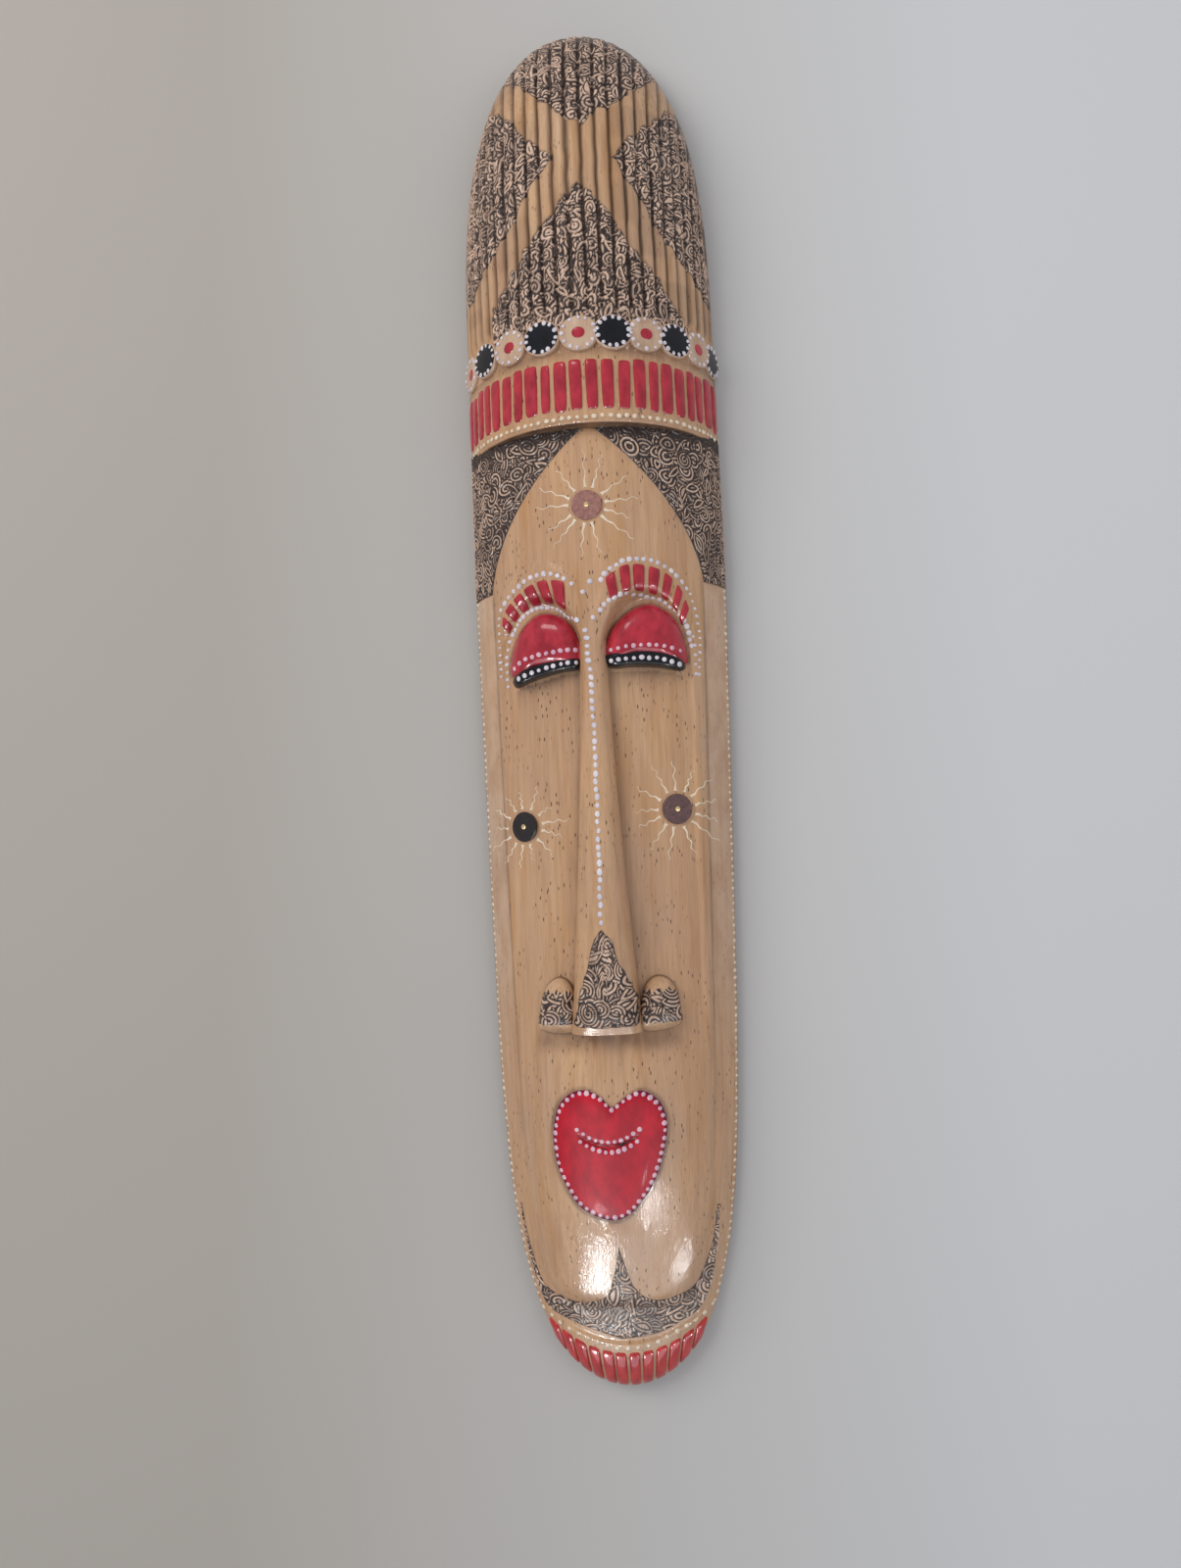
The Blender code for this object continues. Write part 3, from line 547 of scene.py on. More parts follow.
LID_LEFT = Outline(
    [(-63.5, 5), (-64.5, 12), (-61.5, 24), (-54, 37.5), (-41, 47), (-28, 45.5), (-18, 37), (-12.5, 23),
     (-12, 9), (-20, 7.5), (-32, 7.5), (-46, 6), (-57, 2.5)], (-38, 18))
LID_RIGHT = Outline(
    [(6.5, 9.5), (6, 19), (10.5, 32), (20.5, 43), (35, 50), (49.5, 45), (58.5, 33), (63, 15), (62, 7),
     (52, 9), (38, 11), (24, 11.5), (13, 9.5)], (35, 20))
LASH_LEFT = Outline(
    [(-62.5, 1.5), (-53, 7.5), (-42, 10.5), (-30, 12.5), (-20, 13.2), (-12.5, 12), (-12, 8.5), (-14, 4.8),
     (-24, 4.4), (-36, 2.2), (-48, -1.2), (-57, -4.2), (-61, -3.5)], (-35, 6))
LASH_RIGHT = Outline(
    [(5.8, 13.5), (14, 15), (24, 16.5), (36, 16.6), (48, 15), (56, 12), (60.5, 8.5), (60.5, 3), (56, 1.8),
     (46, 3.6), (34, 5), (22, 5.2), (13, 4.4), (7, 6.5)], (34, 10))
LIPS = Outline(
    [(-2, -298), (-10, -290.5), (-21, -286), (-32, -289.5), (-40, -299), (-44, -317), (-42.5, -335),
     (-37, -350), (-28, -364), (-18, -370.5), (-5, -374), (5.5, -371), (15.5, -362), (26, -346), (33, -325),
     (35, -309), (30.5, -295), (19, -287), (9, -290.5), (2, -295.5)], (-3, -322))
UNDER_LASHES = (
    [(-61, -4), (-48, -1.2), (-36, 2.2), (-24, 4.4), (-12.5, 5)],
    [(7, 4.4), (22, 5.2), (34, 5), (46, 3.6), (60, 1.8)],
)


def shade_and_stain_under_lashes(x, y):
    """How strongly the wood below the lashes is darkened: stain, and a painted shadow below the overhang that
    fades downwards.
    """
    stain_and_shade = np.zeros(np.shape(x))
    for line in UNDER_LASHES:
        px, py = np.array(line).T * MM
        below = np.interp(x, px, py) - 0.0022 - y
        within = smooth(px[0] - 0.001, px[0] + 0.004, x) * smooth(px[-1] + 0.001, px[-1] - 0.004, x)
        stain_and_shade = np.maximum(stain_and_shade, within * (below > 0) * np.exp(-np.clip(below, 0, 1) / 0.0075))
    return stain_and_shade


def crevice_shade_round_pads(x, y):
    """Painted shade, with the stain that gathers there, in the crevice round the lids and the lips."""
    return sum(np.exp(-(((pad.share(x, y) - 1.02) / 0.035) ** 2)) for pad in (LID_LEFT, LID_RIGHT, LIPS))


# %% [markdown]
# ## The lower mask
#
# Forehead, sockets, cheeks, side strips and collar are one continuous carved surface. Its columns follow
# the crease between the face and the side strips, where the surface breaks most sharply.

# %% Ground of the lower mask
def ground_place(u, v):
    head = RIM_Y + 0.012
    v = v - 0.85 * v * (1 - v) ** 8
    y = BOTTOM + (head - BOTTOM) * v
    w = half_width(y)
    crease = np.maximum(w - STRIP, 0.35 * w)
    side = 2 * u - 1
    t = np.abs(side)
    inner, bend = 0.62, 0.78
    on_face = (crease - 0.010) * t / inner
    by_crease = crease - 0.010 * (bend - t) / (bend - inner)
    on_strip = crease + (w - crease) * np.sin(np.pi / 2 * (t - bend) / (1 - bend))
    x = np.where(t < inner, on_face, np.where(t < bend, by_crease, on_strip))
    off = np.sign(side) * np.clip(x, 0, w)
    x = off + middle_line(y)
    inset = 0.006 * smooth(RIM_Y, RIM_Y + 0.004, y)
    z = face_surface(middle_line(y) + off * (1 - inset / HALF), y) - 2 * inset
    points = np.stack([x, y, z], axis=1)
    return points, ground_paint(x, y)


def ground_paint(x, y):
    """Stain and painted shade in the creases, round the lids and lips and under the eyes and nose, and paler
    wood with a painted sheen on the side strips.
    """
    inside = inside_face(x, y)
    # Painted shade in the crease between the face and the side strips, where stain gathers too.
    crease = np.exp(-(((inside - 0.0004) / 0.0009) ** 2)) * smooth(along(0.575), along(0.56), y)
    off = np.abs(x - FACE_LEAN)
    # Painted shade under the base of the nose and along its sides.
    nose_shade = np.exp(-(((y - NOSE_BASE_Y + 0.006) / 0.007) ** 2)) * smooth(0.055, 0.045, off)
    nose_side_shade = np.exp(-(((off - nose_half(y)) / 0.0035) ** 2))
    nose_side_shade = nose_side_shade * smooth(NOSE_BASE_Y, NOSE_BASE_Y + 0.01, y) * smooth(along(0.53), along(0.50), y)
    eyes = 0.70 * shade_and_stain_under_lashes(x, y) + 0.80 * crevice_shade_round_pads(x, y)
    stain_and_shade = 0.75 * crease * smooth(along(0.10), along(0.35), y) + eyes + 0.65 * nose_shade + 0.40 * nose_side_shade
    # Paler wood and a painted sheen on the steep side strips.
    pale_strip_and_sheen = 0.45 * smooth(0.001, -0.001, inside) * smooth(along(0.20), along(0.32), y)
    return np.clip(stain_and_shade, 0, 1), pale_strip_and_sheen


sheet("face_ground", 150, 480, ground_place, WOOD)

# %% [markdown]
# ## Swirls
#
# The gouge makes nested curls: two to five rounds about one middle, some of them spirals, and pointed leaves
# between them, the biggest cutting into the smaller. They are drawn once as a height map in memory, over the
# curve of the log, and the fine surfaces read it.

# %% Drawing the swirls
SWIRL_STEP = 0.00022
SWIRL_COVER = 4.5  # how many times over the curls would cover the rectangle


class SwirlMap:
    """Heights from 0 to 1 over a rectangle, filled with curls and leaves of nested lines.

    The biggest are drawn first, and each later one shows only where nothing has been drawn yet.
    """

    def __init__(self, low, high, seed, ring, biggest, fullness, leaves=0.5):
        rng = np.random.default_rng(seed)
        self.low = np.array(low)
        size = np.ceil((np.array(high) - self.low) / SWIRL_STEP).astype(int)
        self.image = np.zeros(size)
        free = np.ones(size, bool)
        area = float(np.prod(size) * SWIRL_STEP**2)
        count = int(area / (math.pi * (0.50 * biggest) ** 2) * SWIRL_COVER)
        reach = int(1.25 * biggest / SWIRL_STEP) + 1
        span = np.arange(-reach, reach + 1) * SWIRL_STEP
        dx, dy = np.meshgrid(span, span, indexing="ij")
        for k in range(count):
            cx, cy = rng.integers(0, size[0]), rng.integers(0, size[1])
            radius = rng.uniform(0.85, 1.15) * biggest * (0.85 - 0.45 * k / count)
            turn = rng.uniform(0, 2 * math.pi)
            a, b = math.cos(turn), math.sin(turn)
            ex, ey = a * dx + b * dy, b * dx - a * dy
            pitch = ring * rng.uniform(0.85, 1.3)
            if rng.uniform() < leaves:
                length = radius * 1.25
                ey = ey - rng.uniform(-0.5, 0.5) * ex * ex / length
                width = radius * rng.uniform(0.42, 0.75) * np.clip(1 - (ex / length) ** 2, 0, 1)
                inside = np.minimum(width - np.abs(ey), length - np.abs(ex))
                phase = inside / pitch
            else:
                stretch = rng.uniform(0.78, 1.2)
                ex, ey = ex * stretch, ey / stretch
                r, angle = np.hypot(ex, ey), np.arctan2(ey, ex)
                opening = rng.uniform(1.5, 3.3)
                inside = np.minimum(radius - r, (opening - np.abs(angle)) * r)
                wobble = 0.16 * np.sin(angle * rng.integers(2, 4) + rng.uniform(0, 6))
                wobble = wobble * np.clip(r / radius, 0, 1)
                phase = (radius - r) / pitch + rng.choice([-1, 0, 1]) * angle / (2 * math.pi) + wobble
            curl = np.clip(fullness - 0.85 * np.cos(2 * math.pi * phase), 0, 1) * rng.uniform(0.6, 1.0)
            curl = curl * np.clip(inside / 0.0005, 0, 1)
            x0, x1 = max(cx - reach, 0), min(cx + reach + 1, size[0])
            y0, y1 = max(cy - reach, 0), min(cy + reach + 1, size[1])
            part = (slice(x0 - cx + reach, x1 - cx + reach), slice(y0 - cy + reach, y1 - cy + reach))
            here = (inside[part] > -0.0002) & free[x0:x1, y0:y1]
            np.copyto(self.image[x0:x1, y0:y1], curl[part], where=here)
            free[x0:x1, y0:y1] &= ~here

    def at(self, a, b):
        """Height at points given by their distance over the curve and along the mask."""
        px = np.clip((a - self.low[0]) / SWIRL_STEP, 0, self.image.shape[0] - 1.001)
        py = np.clip((b - self.low[1]) / SWIRL_STEP, 0, self.image.shape[1] - 1.001)
        i, j = px.astype(int), py.astype(int)
        fx, fy = px - i, py - j
        im = self.image
        upper = im[i, j] * (1 - fx) + im[i + 1, j] * fx
        lower = im[i, j + 1] * (1 - fx) + im[i + 1, j + 1] * fx
        return upper * (1 - fy) + lower * fy


def soft_noise(low, high, cell, seed):
    """A smooth random function of two coordinates, for small wanderings of the hand."""
    rng = np.random.default_rng(seed)
    low = np.array(low)
    size = np.ceil((np.array(high) - low) / cell).astype(int) + 2
    table = rng.uniform(-1, 1, size)

    def value(a, b):
        p = np.clip((a - low[0]) / cell, 0, size[0] - 2.001)
        q = np.clip((b - low[1]) / cell, 0, size[1] - 2.001)
        i, j = p.astype(int), q.astype(int)
        f, g = p - i, q - j
        f, g = f * f * (3 - 2 * f), g * g * (3 - 2 * g)
        return (table[i, j] * (1 - f) + table[i + 1, j] * f) * (1 - g) + (
            table[i, j + 1] * (1 - f) + table[i + 1, j + 1] * f) * g

    return value


crown_swirls = SwirlMap((-0.128, 0.220), (0.128, 0.502), 11, 0.0027, 0.0074, fullness=0.88)
hair_swirls = SwirlMap((-0.128, 0.055), (0.128, 0.190), 23, 0.0026, 0.0088, fullness=0.40)
chin_swirls = SwirlMap((-0.090, -0.480), (0.090, -0.330), 37, 0.0023, 0.0082, fullness=0.80, leaves=0.45)
nose_swirls = SwirlMap((-0.060, -0.256), (0.060, -0.170), 41, 0.0024, 0.0088, fullness=0.78, leaves=0.4)
print("swirl maps:", crown_swirls.image.shape, hair_swirls.image.shape)

# %% [markdown]
# ## The crown of the hat
#
# Twenty-four narrow grooves run up the hat and out over its arched end. Between them the wood is left plain
# in bands that cross like an X, and swirled in the diamonds that the bands leave. The crown is cut in two
# halves, so that each mesh stays small.

# %% Crown
FLUTES = 24
FLUTE_HALF = 0.0021
FLUTE_DEPTH = 0.0022
SWIRL_DEPTH = 0.00085

TOP_CAP = [(-110, 490), (-60, 468), (-50, 452), (-40, 438), (-30, 428), (-16, 414), (-7, 401), (5, 394),
           (14, 408), (24, 410), (38, 426), (50, 441), (60, 460), (110, 490), (110, 560), (-110, 560)]
LEFT_DIAMOND = [(-140, 470), (-75, 447), (-49, 409), (-37, 392), (-30, 386), (-18, 373), (-41, 345),
                (-58, 321), (-89, 293), (-140, 270)]
RIGHT_DIAMOND = [(140, 480), (73, 437), (55, 406), (37, 386), (24, 371), (50, 331), (68, 305), (98, 273),
                 (140, 250)]
LOW_DIAMOND = [(1, 352), (-37, 312), (-66, 274), (-71, 225), (90, 225), (84, 243), (58, 277), (35, 308)]
DIAMONDS = (TOP_CAP, LEFT_DIAMOND, RIGHT_DIAMOND, LOW_DIAMOND)


def inside_polygon(points, x, y):
    """True where x, y (in millimetres) lie inside a polygon."""
    inside = np.zeros(x.shape, bool)
    for (ax, ay), (bx, by) in zip(points, points[1:] + points[:1]):
        crosses = (ay > y) != (by > y)
        where = ax + (y - ay) * (bx - ax) / (by - ay if by != ay else 1e-9)
        inside ^= crosses & (x < where)
    return inside


hand = soft_noise((-0.14, 0.20), (0.14, 0.52), 0.013, 5)
hand_fine = soft_noise((-0.14, 0.20), (0.14, 0.52), 0.004, 6)


def border_distance(x, y):
    """Distance (in millimetres) to the nearest side of a diamond."""
    nearest = np.full(x.shape, 99.0)
    for polygon in DIAMONDS:
        for (ax, ay), (bx, by) in zip(polygon, polygon[1:] + polygon[:1]):
            length = math.hypot(bx - ax, by - ay)
            ux, uy = (bx - ax) / length, (by - ay) / length
            run = np.clip((x - ax) * ux + (y - ay) * uy, 0, length)
            nearest = np.minimum(nearest, np.hypot(x - ax - run * ux, y - ay - run * uy))
    return nearest


def crown_area(arc, x, y):
    """1 in the swirled areas, with an edge that wanders as a hand does, and the way to that edge."""
    px = x * 1000 + 2.0 * hand(arc, y) + 1.5 * hand_fine(arc, y)
    py = y * 1000 + 2.0 * hand(arc + 0.01, y) + 1.5 * hand_fine(arc + 0.02, y)
    area = np.zeros(x.shape)
    for polygon in DIAMONDS:
        area = np.maximum(area, inside_polygon(polygon, px, py))
    return area, border_distance(px, py)


def crown_place(arc, v):
    off = across(arc)
    outline = CROWN_START + (TOP - CROWN_START) * full_arch(np.abs(off) / HALF)
    start = BOSS_Y - 0.012
    y = start + (outline - start) * np.sin(np.pi / 2 * v) ** 0.86
    x = off + middle_line(y)
    z = hat_surface(x, y)
    normal = normal_of(hat_surface, x, np.minimum(y, outline - 0.002))
    pitch = 2 * HALF_ARC / FLUTES
    lane = np.round(arc / pitch) * pitch
    wander = arc + 0.0005 * hand(lane, y) + 0.0009 * hand(lane, 0.35)
    way = np.abs((wander + HALF_ARC) % pitch - pitch / 2)
    area, border = crown_area(arc, x, y)
    groove = np.clip(1 - way / FLUTE_HALF, 0, 1)
    groove = groove * groove * (3 - 2 * groove)
    reed = 0.0013 * np.sqrt(np.clip(1 - ((pitch / 2 - way) / (pitch / 2)) ** 2, 0, 1))
    fade = smooth(0.001, 0.030, outline - y) * smooth(EDGE + 0.001, EDGE + 0.014, z)
    begin = smooth(BOSS_Y + 0.012, BOSS_Y + 0.022, y)
    swirl = crown_swirls.at(arc, y)
    bridge = smooth(-0.05, 0.45, hand_fine(arc * 0.9, y * 0.8 + 0.05)) * area * smooth(0.3, 0.7, swirl)
    knife = np.exp(-((border / 0.55) ** 2))
    lift = -FLUTE_DEPTH * groove * begin * (1 - 0.5 * bridge) + reed * begin
    lift = lift + area * SWIRL_DEPTH * (swirl - 0.75) * (1 - 0.7 * groove * (1 - bridge))
    lift = lift - 0.0006 * knife * begin
    points = np.stack([x, y, z], axis=1) + normal * (lift * fade)[:, None]
    points[:, 2] = np.maximum(points[:, 2], EDGE - 0.0004)
    # Painted shade in the grooves of the plain wood, and a patina left off the middle of the crown, so that
    # the middle stays lighter as a painted sheen.
    plain = 0.46 * smooth(0.0012, 0.0003, way) + 0.28 * smooth(0.0042, 0.0008, way)
    patina_and_sheen = 0.16 * smooth(0.20, -0.30, hand(arc * 0.5, y))
    plain = plain + patina_and_sheen * (1 - area) * smooth(0.010, 0.045, np.abs(arc))
    swirled = smooth(0.0017, 0.0009, way) * (1 - 0.95 * bridge)
    dark = np.maximum(np.where(area > 0.5, swirled, plain) * begin, 0.8 * knife * begin)
    return points, (dark, swirl, area)


for side, name in ((0, "crown_left"), (1, "crown_right")):
    sheet(name, 205, 380, lambda u, v, side=side: crown_place(HALF_ARC * (u - 1 + side), v), SWIRLS)

# %% [markdown]
# ## The band and the rim of the hat
#
# Below the bosses a band of upright bars runs round the hat, over a plain lip with a row of dots. The band
# ends in an undercut rim that stands proud of the hair.

# %% Band of the hat
BAND_TOP = BOSS_Y - 0.006


def band_place(u, v):
    arc = HALF_ARC * (2 * u - 1)
    turn_in = 0.10
    y = np.where(v < turn_in, RIM_Y, RIM_Y + (BAND_TOP - RIM_Y) * (v - turn_in) / (1 - turn_in))
    x = across(arc) + middle_line(y)
    z = hat_surface(x, y)
    normal = normal_of(hat_surface, x, y)
    deep = np.where(v < turn_in, -0.016 * (1 - v / turn_in), 0.0)
    rounding = -0.0012 * (1 - smooth(0.0, 0.004, y - RIM_Y)) * (v >= turn_in)
    rough = 0.00018 * hand_fine(arc * 1.7, y * 1.3 + 0.1)
    points = np.stack([x, y, z], axis=1) + normal * (deep + rounding + rough)[:, None]
    points[:, 2] = np.maximum(points[:, 2], EDGE - 0.0004)
    # Darker towards the bosses above, and painted shade on the undercut of the rim.
    upper = smooth(BOSS_Y - 0.020, BOSS_Y - 0.012, y)
    stain_and_shade = np.clip(0.55 * upper + 0.9 * (v < turn_in), 0, 1)
    return points, (stain_and_shade, 0 * u)


sheet("hat_band", 320, 60, band_place, WOOD)

# %% [markdown]
# ## The hair
#
# Between the rim and the side strips the ground is swirled all over, up to the smooth pointed forehead. Two
# sheets lie just above the wood there, one on each side.

# %% Hair
HAIR_LOW = 0.068
hair_edge = soft_noise((-0.14, 0.05), (0.14, 0.20), 0.007, 8)


def hair_place(side, u, v):
    y = HAIR_LOW + (RIM_Y + 0.004 - HAIR_LOW) * v
    w = half_width(y)
    inner = np.clip(np.minimum(w - 0.002, ogive_half(y) + 0.0006), 0, w - 0.001)
    arc_inner, arc_outer = arc_of(inner), arc_of(w)
    arc = side * (arc_inner + (arc_outer - arc_inner) * u)
    x = middle_line(y) + np.where(u > 0.999, side * w, across(arc))
    z = log_surface(x, y)
    normal = normal_of(log_surface, x * 0.997, y)
    swirl = hair_swirls.at(arc, y)
    border = smooth(0.0, 0.0015, (u * (arc_outer - arc_inner)))
    outer_end = smooth(0.0, 0.004, (1 - u) * (arc_outer - arc_inner) + 0.001)
    lift = 0.0003 + (0.0011 * swirl + 0.0003) * border * outer_end
    points = np.stack([x, y, z], axis=1) + normal * lift[:, None]
    # Dark along the forehead's edge, and a painted shadow under the overhanging rim of the hat, with a
    # wavering edge.
    shade = RIM_Y - 0.0045 + 0.003 * hair_edge(arc, y * 0 + 0.1)
    dark = 0.13 + 0.9 * (1 - border) + smooth(shade - 0.003, shade, y)
    return points, (np.clip(dark, 0, 1), swirl, 0 * u + 1)


for side, name in ((-1, "hair_left"), (1, "hair_right")):
    obj = sheet(name, 225, 212, lambda u, v, side=side: hair_place(side, u, v), SWIRLS)
    if side < 0:
        obj.data.flip_normals()

# %% [markdown]
# ## The back
#
# The wall side is hollowed like a boat, with a flat rim to rest on and a notch for a nail in the upper lip.
# It is one loop of points that goes round the mask, carried inwards ring by ring.

# %% Back and hollow
SIDE_WALL = 0.0165
CROWN_WEB = 0.046
CHIN_WEB = 0.040
HOLLOW_DEPTH = 0.036
HOLLOW_TOP_RUN = 0.15
HOLLOW_BOTTOM_RUN = 0.22
NOTCH_HALF = 0.011
NOTCH_LENGTH = 0.010
NOTCH_DEPTH = 0.012
BACK_RINGS = 54
WEB_RINGS = 25


def back_place(u, v):
    ring = np.round(v * BACK_RINGS)
    turn = 2 * math.pi * u
    c, s = np.cos(turn), np.sin(turn)
    # The outer loop: heights along the mask, then the outline's width there.
    y_out = TOP - LENGTH * (1 - c) / 2
    x_out = np.sign(s) * half_width(np.clip(y_out, BOTTOM, TOP))
    x_out = np.where(np.abs(s) < 1e-6, 0, x_out) + middle_line(y_out)
    # The hollow: two halves of a boat, pointed to the crown and the chin.
    depth = np.clip((ring - WEB_RINGS) / (BACK_RINGS - WEB_RINGS), 0, 1)
    shrink = np.cos(math.pi / 2 * depth)
    run = np.where(c < 0, HOLLOW_BOTTOM_RUN, HOLLOW_TOP_RUN)
    start = np.where(c < 0, BOTTOM + CHIN_WEB + HOLLOW_BOTTOM_RUN, TOP - CROWN_WEB - HOLLOW_TOP_RUN)
    x_in = (HALF - SIDE_WALL) * s * shrink
    y_in = start + run * c * shrink
    # The flat rim between them, level with the wall, and the notch in its upper end.
    share = np.clip((ring - 1) / (WEB_RINGS - 1), 0, 1)
    x = x_out + (x_in - x_out) * share
    y = y_out + (y_in - y_out) * share
    lip = TOP - CROWN_WEB
    notch = (np.abs(x) < NOTCH_HALF) & (y < lip + NOTCH_LENGTH) & (y > lip - 0.02)
    z = np.maximum(HOLLOW_DEPTH * np.sin(math.pi / 2 * depth), NOTCH_DEPTH * notch)
    z = np.where(ring == 0, EDGE + 0.0006, z)
    inset = np.where(ring == 0, 0.9985, 1.0)
    points = np.stack([x * inset, y * inset, z], axis=1)
    # Stain, and painted shade: darker over the hollow, and darker still towards its deepest part.
    stain_and_shade = 0.25 + 0.10 * (share == 1) + 0.25 * smooth(0.02, 0.034, z) * (share == 1)
    return points, (stain_and_shade, 0 * u)


BACK_WOOD = wood_material("raw_wood", (186, 148, 112), (164, 126, 92), (128, 94, 66), 0.05, 0.7)
sheet("back", 300, BACK_RINGS, back_place, BACK_WOOD)

# %% [markdown]
# ## The nose
#
# The nose is a long ridge with steep sides. It starts flush between the brows and ends in a straight cut.

# %% Nose
def nose_place(u, v):
    y = NOSE_BASE_Y + (NOSE_TOP_Y - NOSE_BASE_Y) * v
    y = np.where(v < 0.03, NOSE_BASE_Y, y)
    x = FACE_LEAN + nose_half(y) * np.sin(math.pi * (u - 0.5))
    z = nose_surface(x, y)
    z = np.where(v < 0.015, np.minimum(z, face_surface(x, y) - 0.002), z)
    points = np.stack([x, y, z], axis=1)
    side = np.abs(2 * u - 1)
    # Painted shade on the steep sides, and on the cut at the base.
    stain_and_shade = 0.42 * smooth(0.72, 0.95, side) * smooth(1.0, 0.85, v)
    return points, (np.clip(stain_and_shade + 0.5 * (v < 0.02), 0, 1), 0 * u)


sheet("nose", 60, 240, nose_place, WOOD)

# %% [markdown]
# ## Raised pads
#
# Lids, lashes, lips and nostrils are all low cushions with their own outline. A square grid is pressed into
# a disc, the disc is pulled out to the outline, and a profile gives the height from middle to edge.

# %% Pads
PAD_SINK = 0.0012


def outlined_grid(outline, cells, ragged=0.0):
    """A grid inside an outline: its mesh, its share of the way to the edge, and its x and y."""
    bm, u, v = unit_grid(cells, cells)
    u, v = 2 * u - 1, 2 * v - 1
    a, b = u * np.sqrt(1 - v * v / 2), v * np.sqrt(1 - u * u / 2)
    angle = np.arctan2(b, a)
    r = np.sin(np.hypot(a, b) * math.pi / 2) ** 0.9
    reach = outline.reach(angle) * r * (1 + ragged * np.sin(11 * angle) * np.sin(4 * angle + 1))
    return bm, r, outline.middle[0] + reach * np.cos(angle), outline.middle[1] + reach * np.sin(angle)


def merge_into(bm, other):
    """Adds a finished bmesh to a bigger one."""
    mesh = bpy.data.meshes.new("part")
    other.to_mesh(mesh)
    other.free()
    bm.from_mesh(mesh)
    bpy.data.meshes.remove(mesh)


def pad(outline, surface, rise, cells):
    """A cushion on a surface: rise(r) is its lift at a share r of the way from the middle to the edge."""
    bm, r, x, y = outlined_grid(outline, cells)
    z = surface(x, y) + np.where(r > 0.9995, -PAD_SINK, rise(r))
    set_points(bm, np.stack([x, y, z], axis=1))
    return bm


# %% [markdown]
# ## Eyes
#
# The closed eyes are glossy red domes. Their lower edge is a narrow black strip, the lashes, that overhangs
# the cheek.

# %% Lids and lashes
LID_RISE = 0.0120
LASH_RISE = 0.0105


def lid_rise(r):
    return LID_RISE * np.sqrt(1 - r**2.6) + 0.0006


def lash_rise(r):
    return LASH_RISE * (1 - r**9) ** 0.5 + 0.0002


def raised_face(outline, rise):
    """The face with one pad on it, for the dots on the pad."""
    def surface(x, y):
        return face_surface(x, y) + rise(np.clip(outline.share(x, y), 0, 1))

    return surface


for name, outlines, rise, cells, paint in (
    ("eyelids", (LID_LEFT, LID_RIGHT), lid_rise, 44, RED),
    ("lashes", (LASH_LEFT, LASH_RIGHT), lash_rise, 36, BLACK),
):
    bm = bmesh.new()
    for outline in outlines:
        merge_into(bm, pad(outline, face_surface, rise, cells))
    finish_piece(name, bm, paint)

# %% [markdown]
# ## Lips
#
# The lips are one heart-shaped red pad with a smile cut into it. The cut is a shallow trough in the pad, and
# a thin dark sheet in the trough is its painted shade.

# %% Lips
def smile_y(x):
    return (-324.0 + 7.6 * ((x * 1000 + 5) / 20.5) ** 2) * MM


def lips_surface(x, y):
    x, y = np.asarray(x, float), np.asarray(y, float)
    r = np.clip(LIPS.share(x, y), 0, 1)
    rise = 0.0030 * (1 - r**9) ** 0.5
    ends = smooth(0.0225, 0.0150, np.abs(x + 0.005))
    cut = 0.0026 * np.exp(-(((y - smile_y(x)) / 0.0018) ** 2)) * ends
    return face_surface(x, y) + rise - cut


def smile():
    """A dark sheet in the slit between the lips, its painted shade, thin at its ends."""
    bm, u, v = unit_grid(60, 8)
    x = (-5 + 21.5 * (2 * u - 1)) * MM
    y = smile_y(x) + 0.0018 * (2 * v - 1) * (1 - np.abs(2 * u - 1) ** 2.6)
    set_points(bm, np.stack([x, y, lips_surface(x, y) + 0.0003 * np.sin(math.pi * v) - 0.0001], axis=1))
    return bm


bm = pad(LIPS, lips_surface, lambda r: 0 * r, 112)
lips = finish_piece("lips", bm, LIP_RED)
spots = np.array([v.co[:2] for v in lips.data.vertices])
# Darker paint and painted shade towards the edge of the lips.
set_paint(lips, 0.85 * smooth(0.935, 0.975, LIPS.share(spots[:, 0], spots[:, 1])))
finish_piece("smile", smile(), SLIT_SHADE)

# %% [markdown]
# ## Bosses
#
# Ten round bosses sit side by side over the band. They are flat-topped, so each is made lying down and then
# stood on the hat by a matrix.

# %% Bosses
BOSS_RADIUS = 0.0128
BOSS_STRETCH = 1.10
BOSS_LIFT = 0.0030
BOSS_PITCH_LEFT = 0.0265
BOSS_PITCH_RIGHT = 0.0239
BOSS_START = -0.002


def stand(surface, x, y, lift=0.0):
    """Matrix that stands a small thing on a surface."""
    x, y = np.array([x], float), np.array([y], float)
    n = Vector(normal_of(surface, x, y)[0].tolist())
    turn = n.to_track_quat("Z", "Y").to_matrix().to_4x4()
    return Matrix.Translation((x[0], y[0], float(surface(x, y)[0]))) @ turn @ Matrix.Translation((0, 0, lift))


def button(radius_x, radius_y, low, high, matrix, edge, segments=40):
    """A flat disc with a rounded edge, standing on a matrix."""
    bm = bmesh.new()
    bmesh.ops.create_cone(bm, cap_ends=True, segments=segments, radius1=1, radius2=1, depth=high - low)
    bmesh.ops.translate(bm, verts=bm.verts, vec=(0, 0, (high + low) / 2))
    bmesh.ops.scale(bm, verts=bm.verts, vec=(radius_x, radius_y, 1))
    top = [e for e in bm.edges if all(v.co.z > high - 1e-6 for v in e.verts)]
    bmesh.ops.bevel(
        bm, geom=top, offset=edge * (high - max(low, 0)), segments=4, profile=0.5, affect="EDGES", material=-1
    )
    bm.transform(matrix)
    return bm


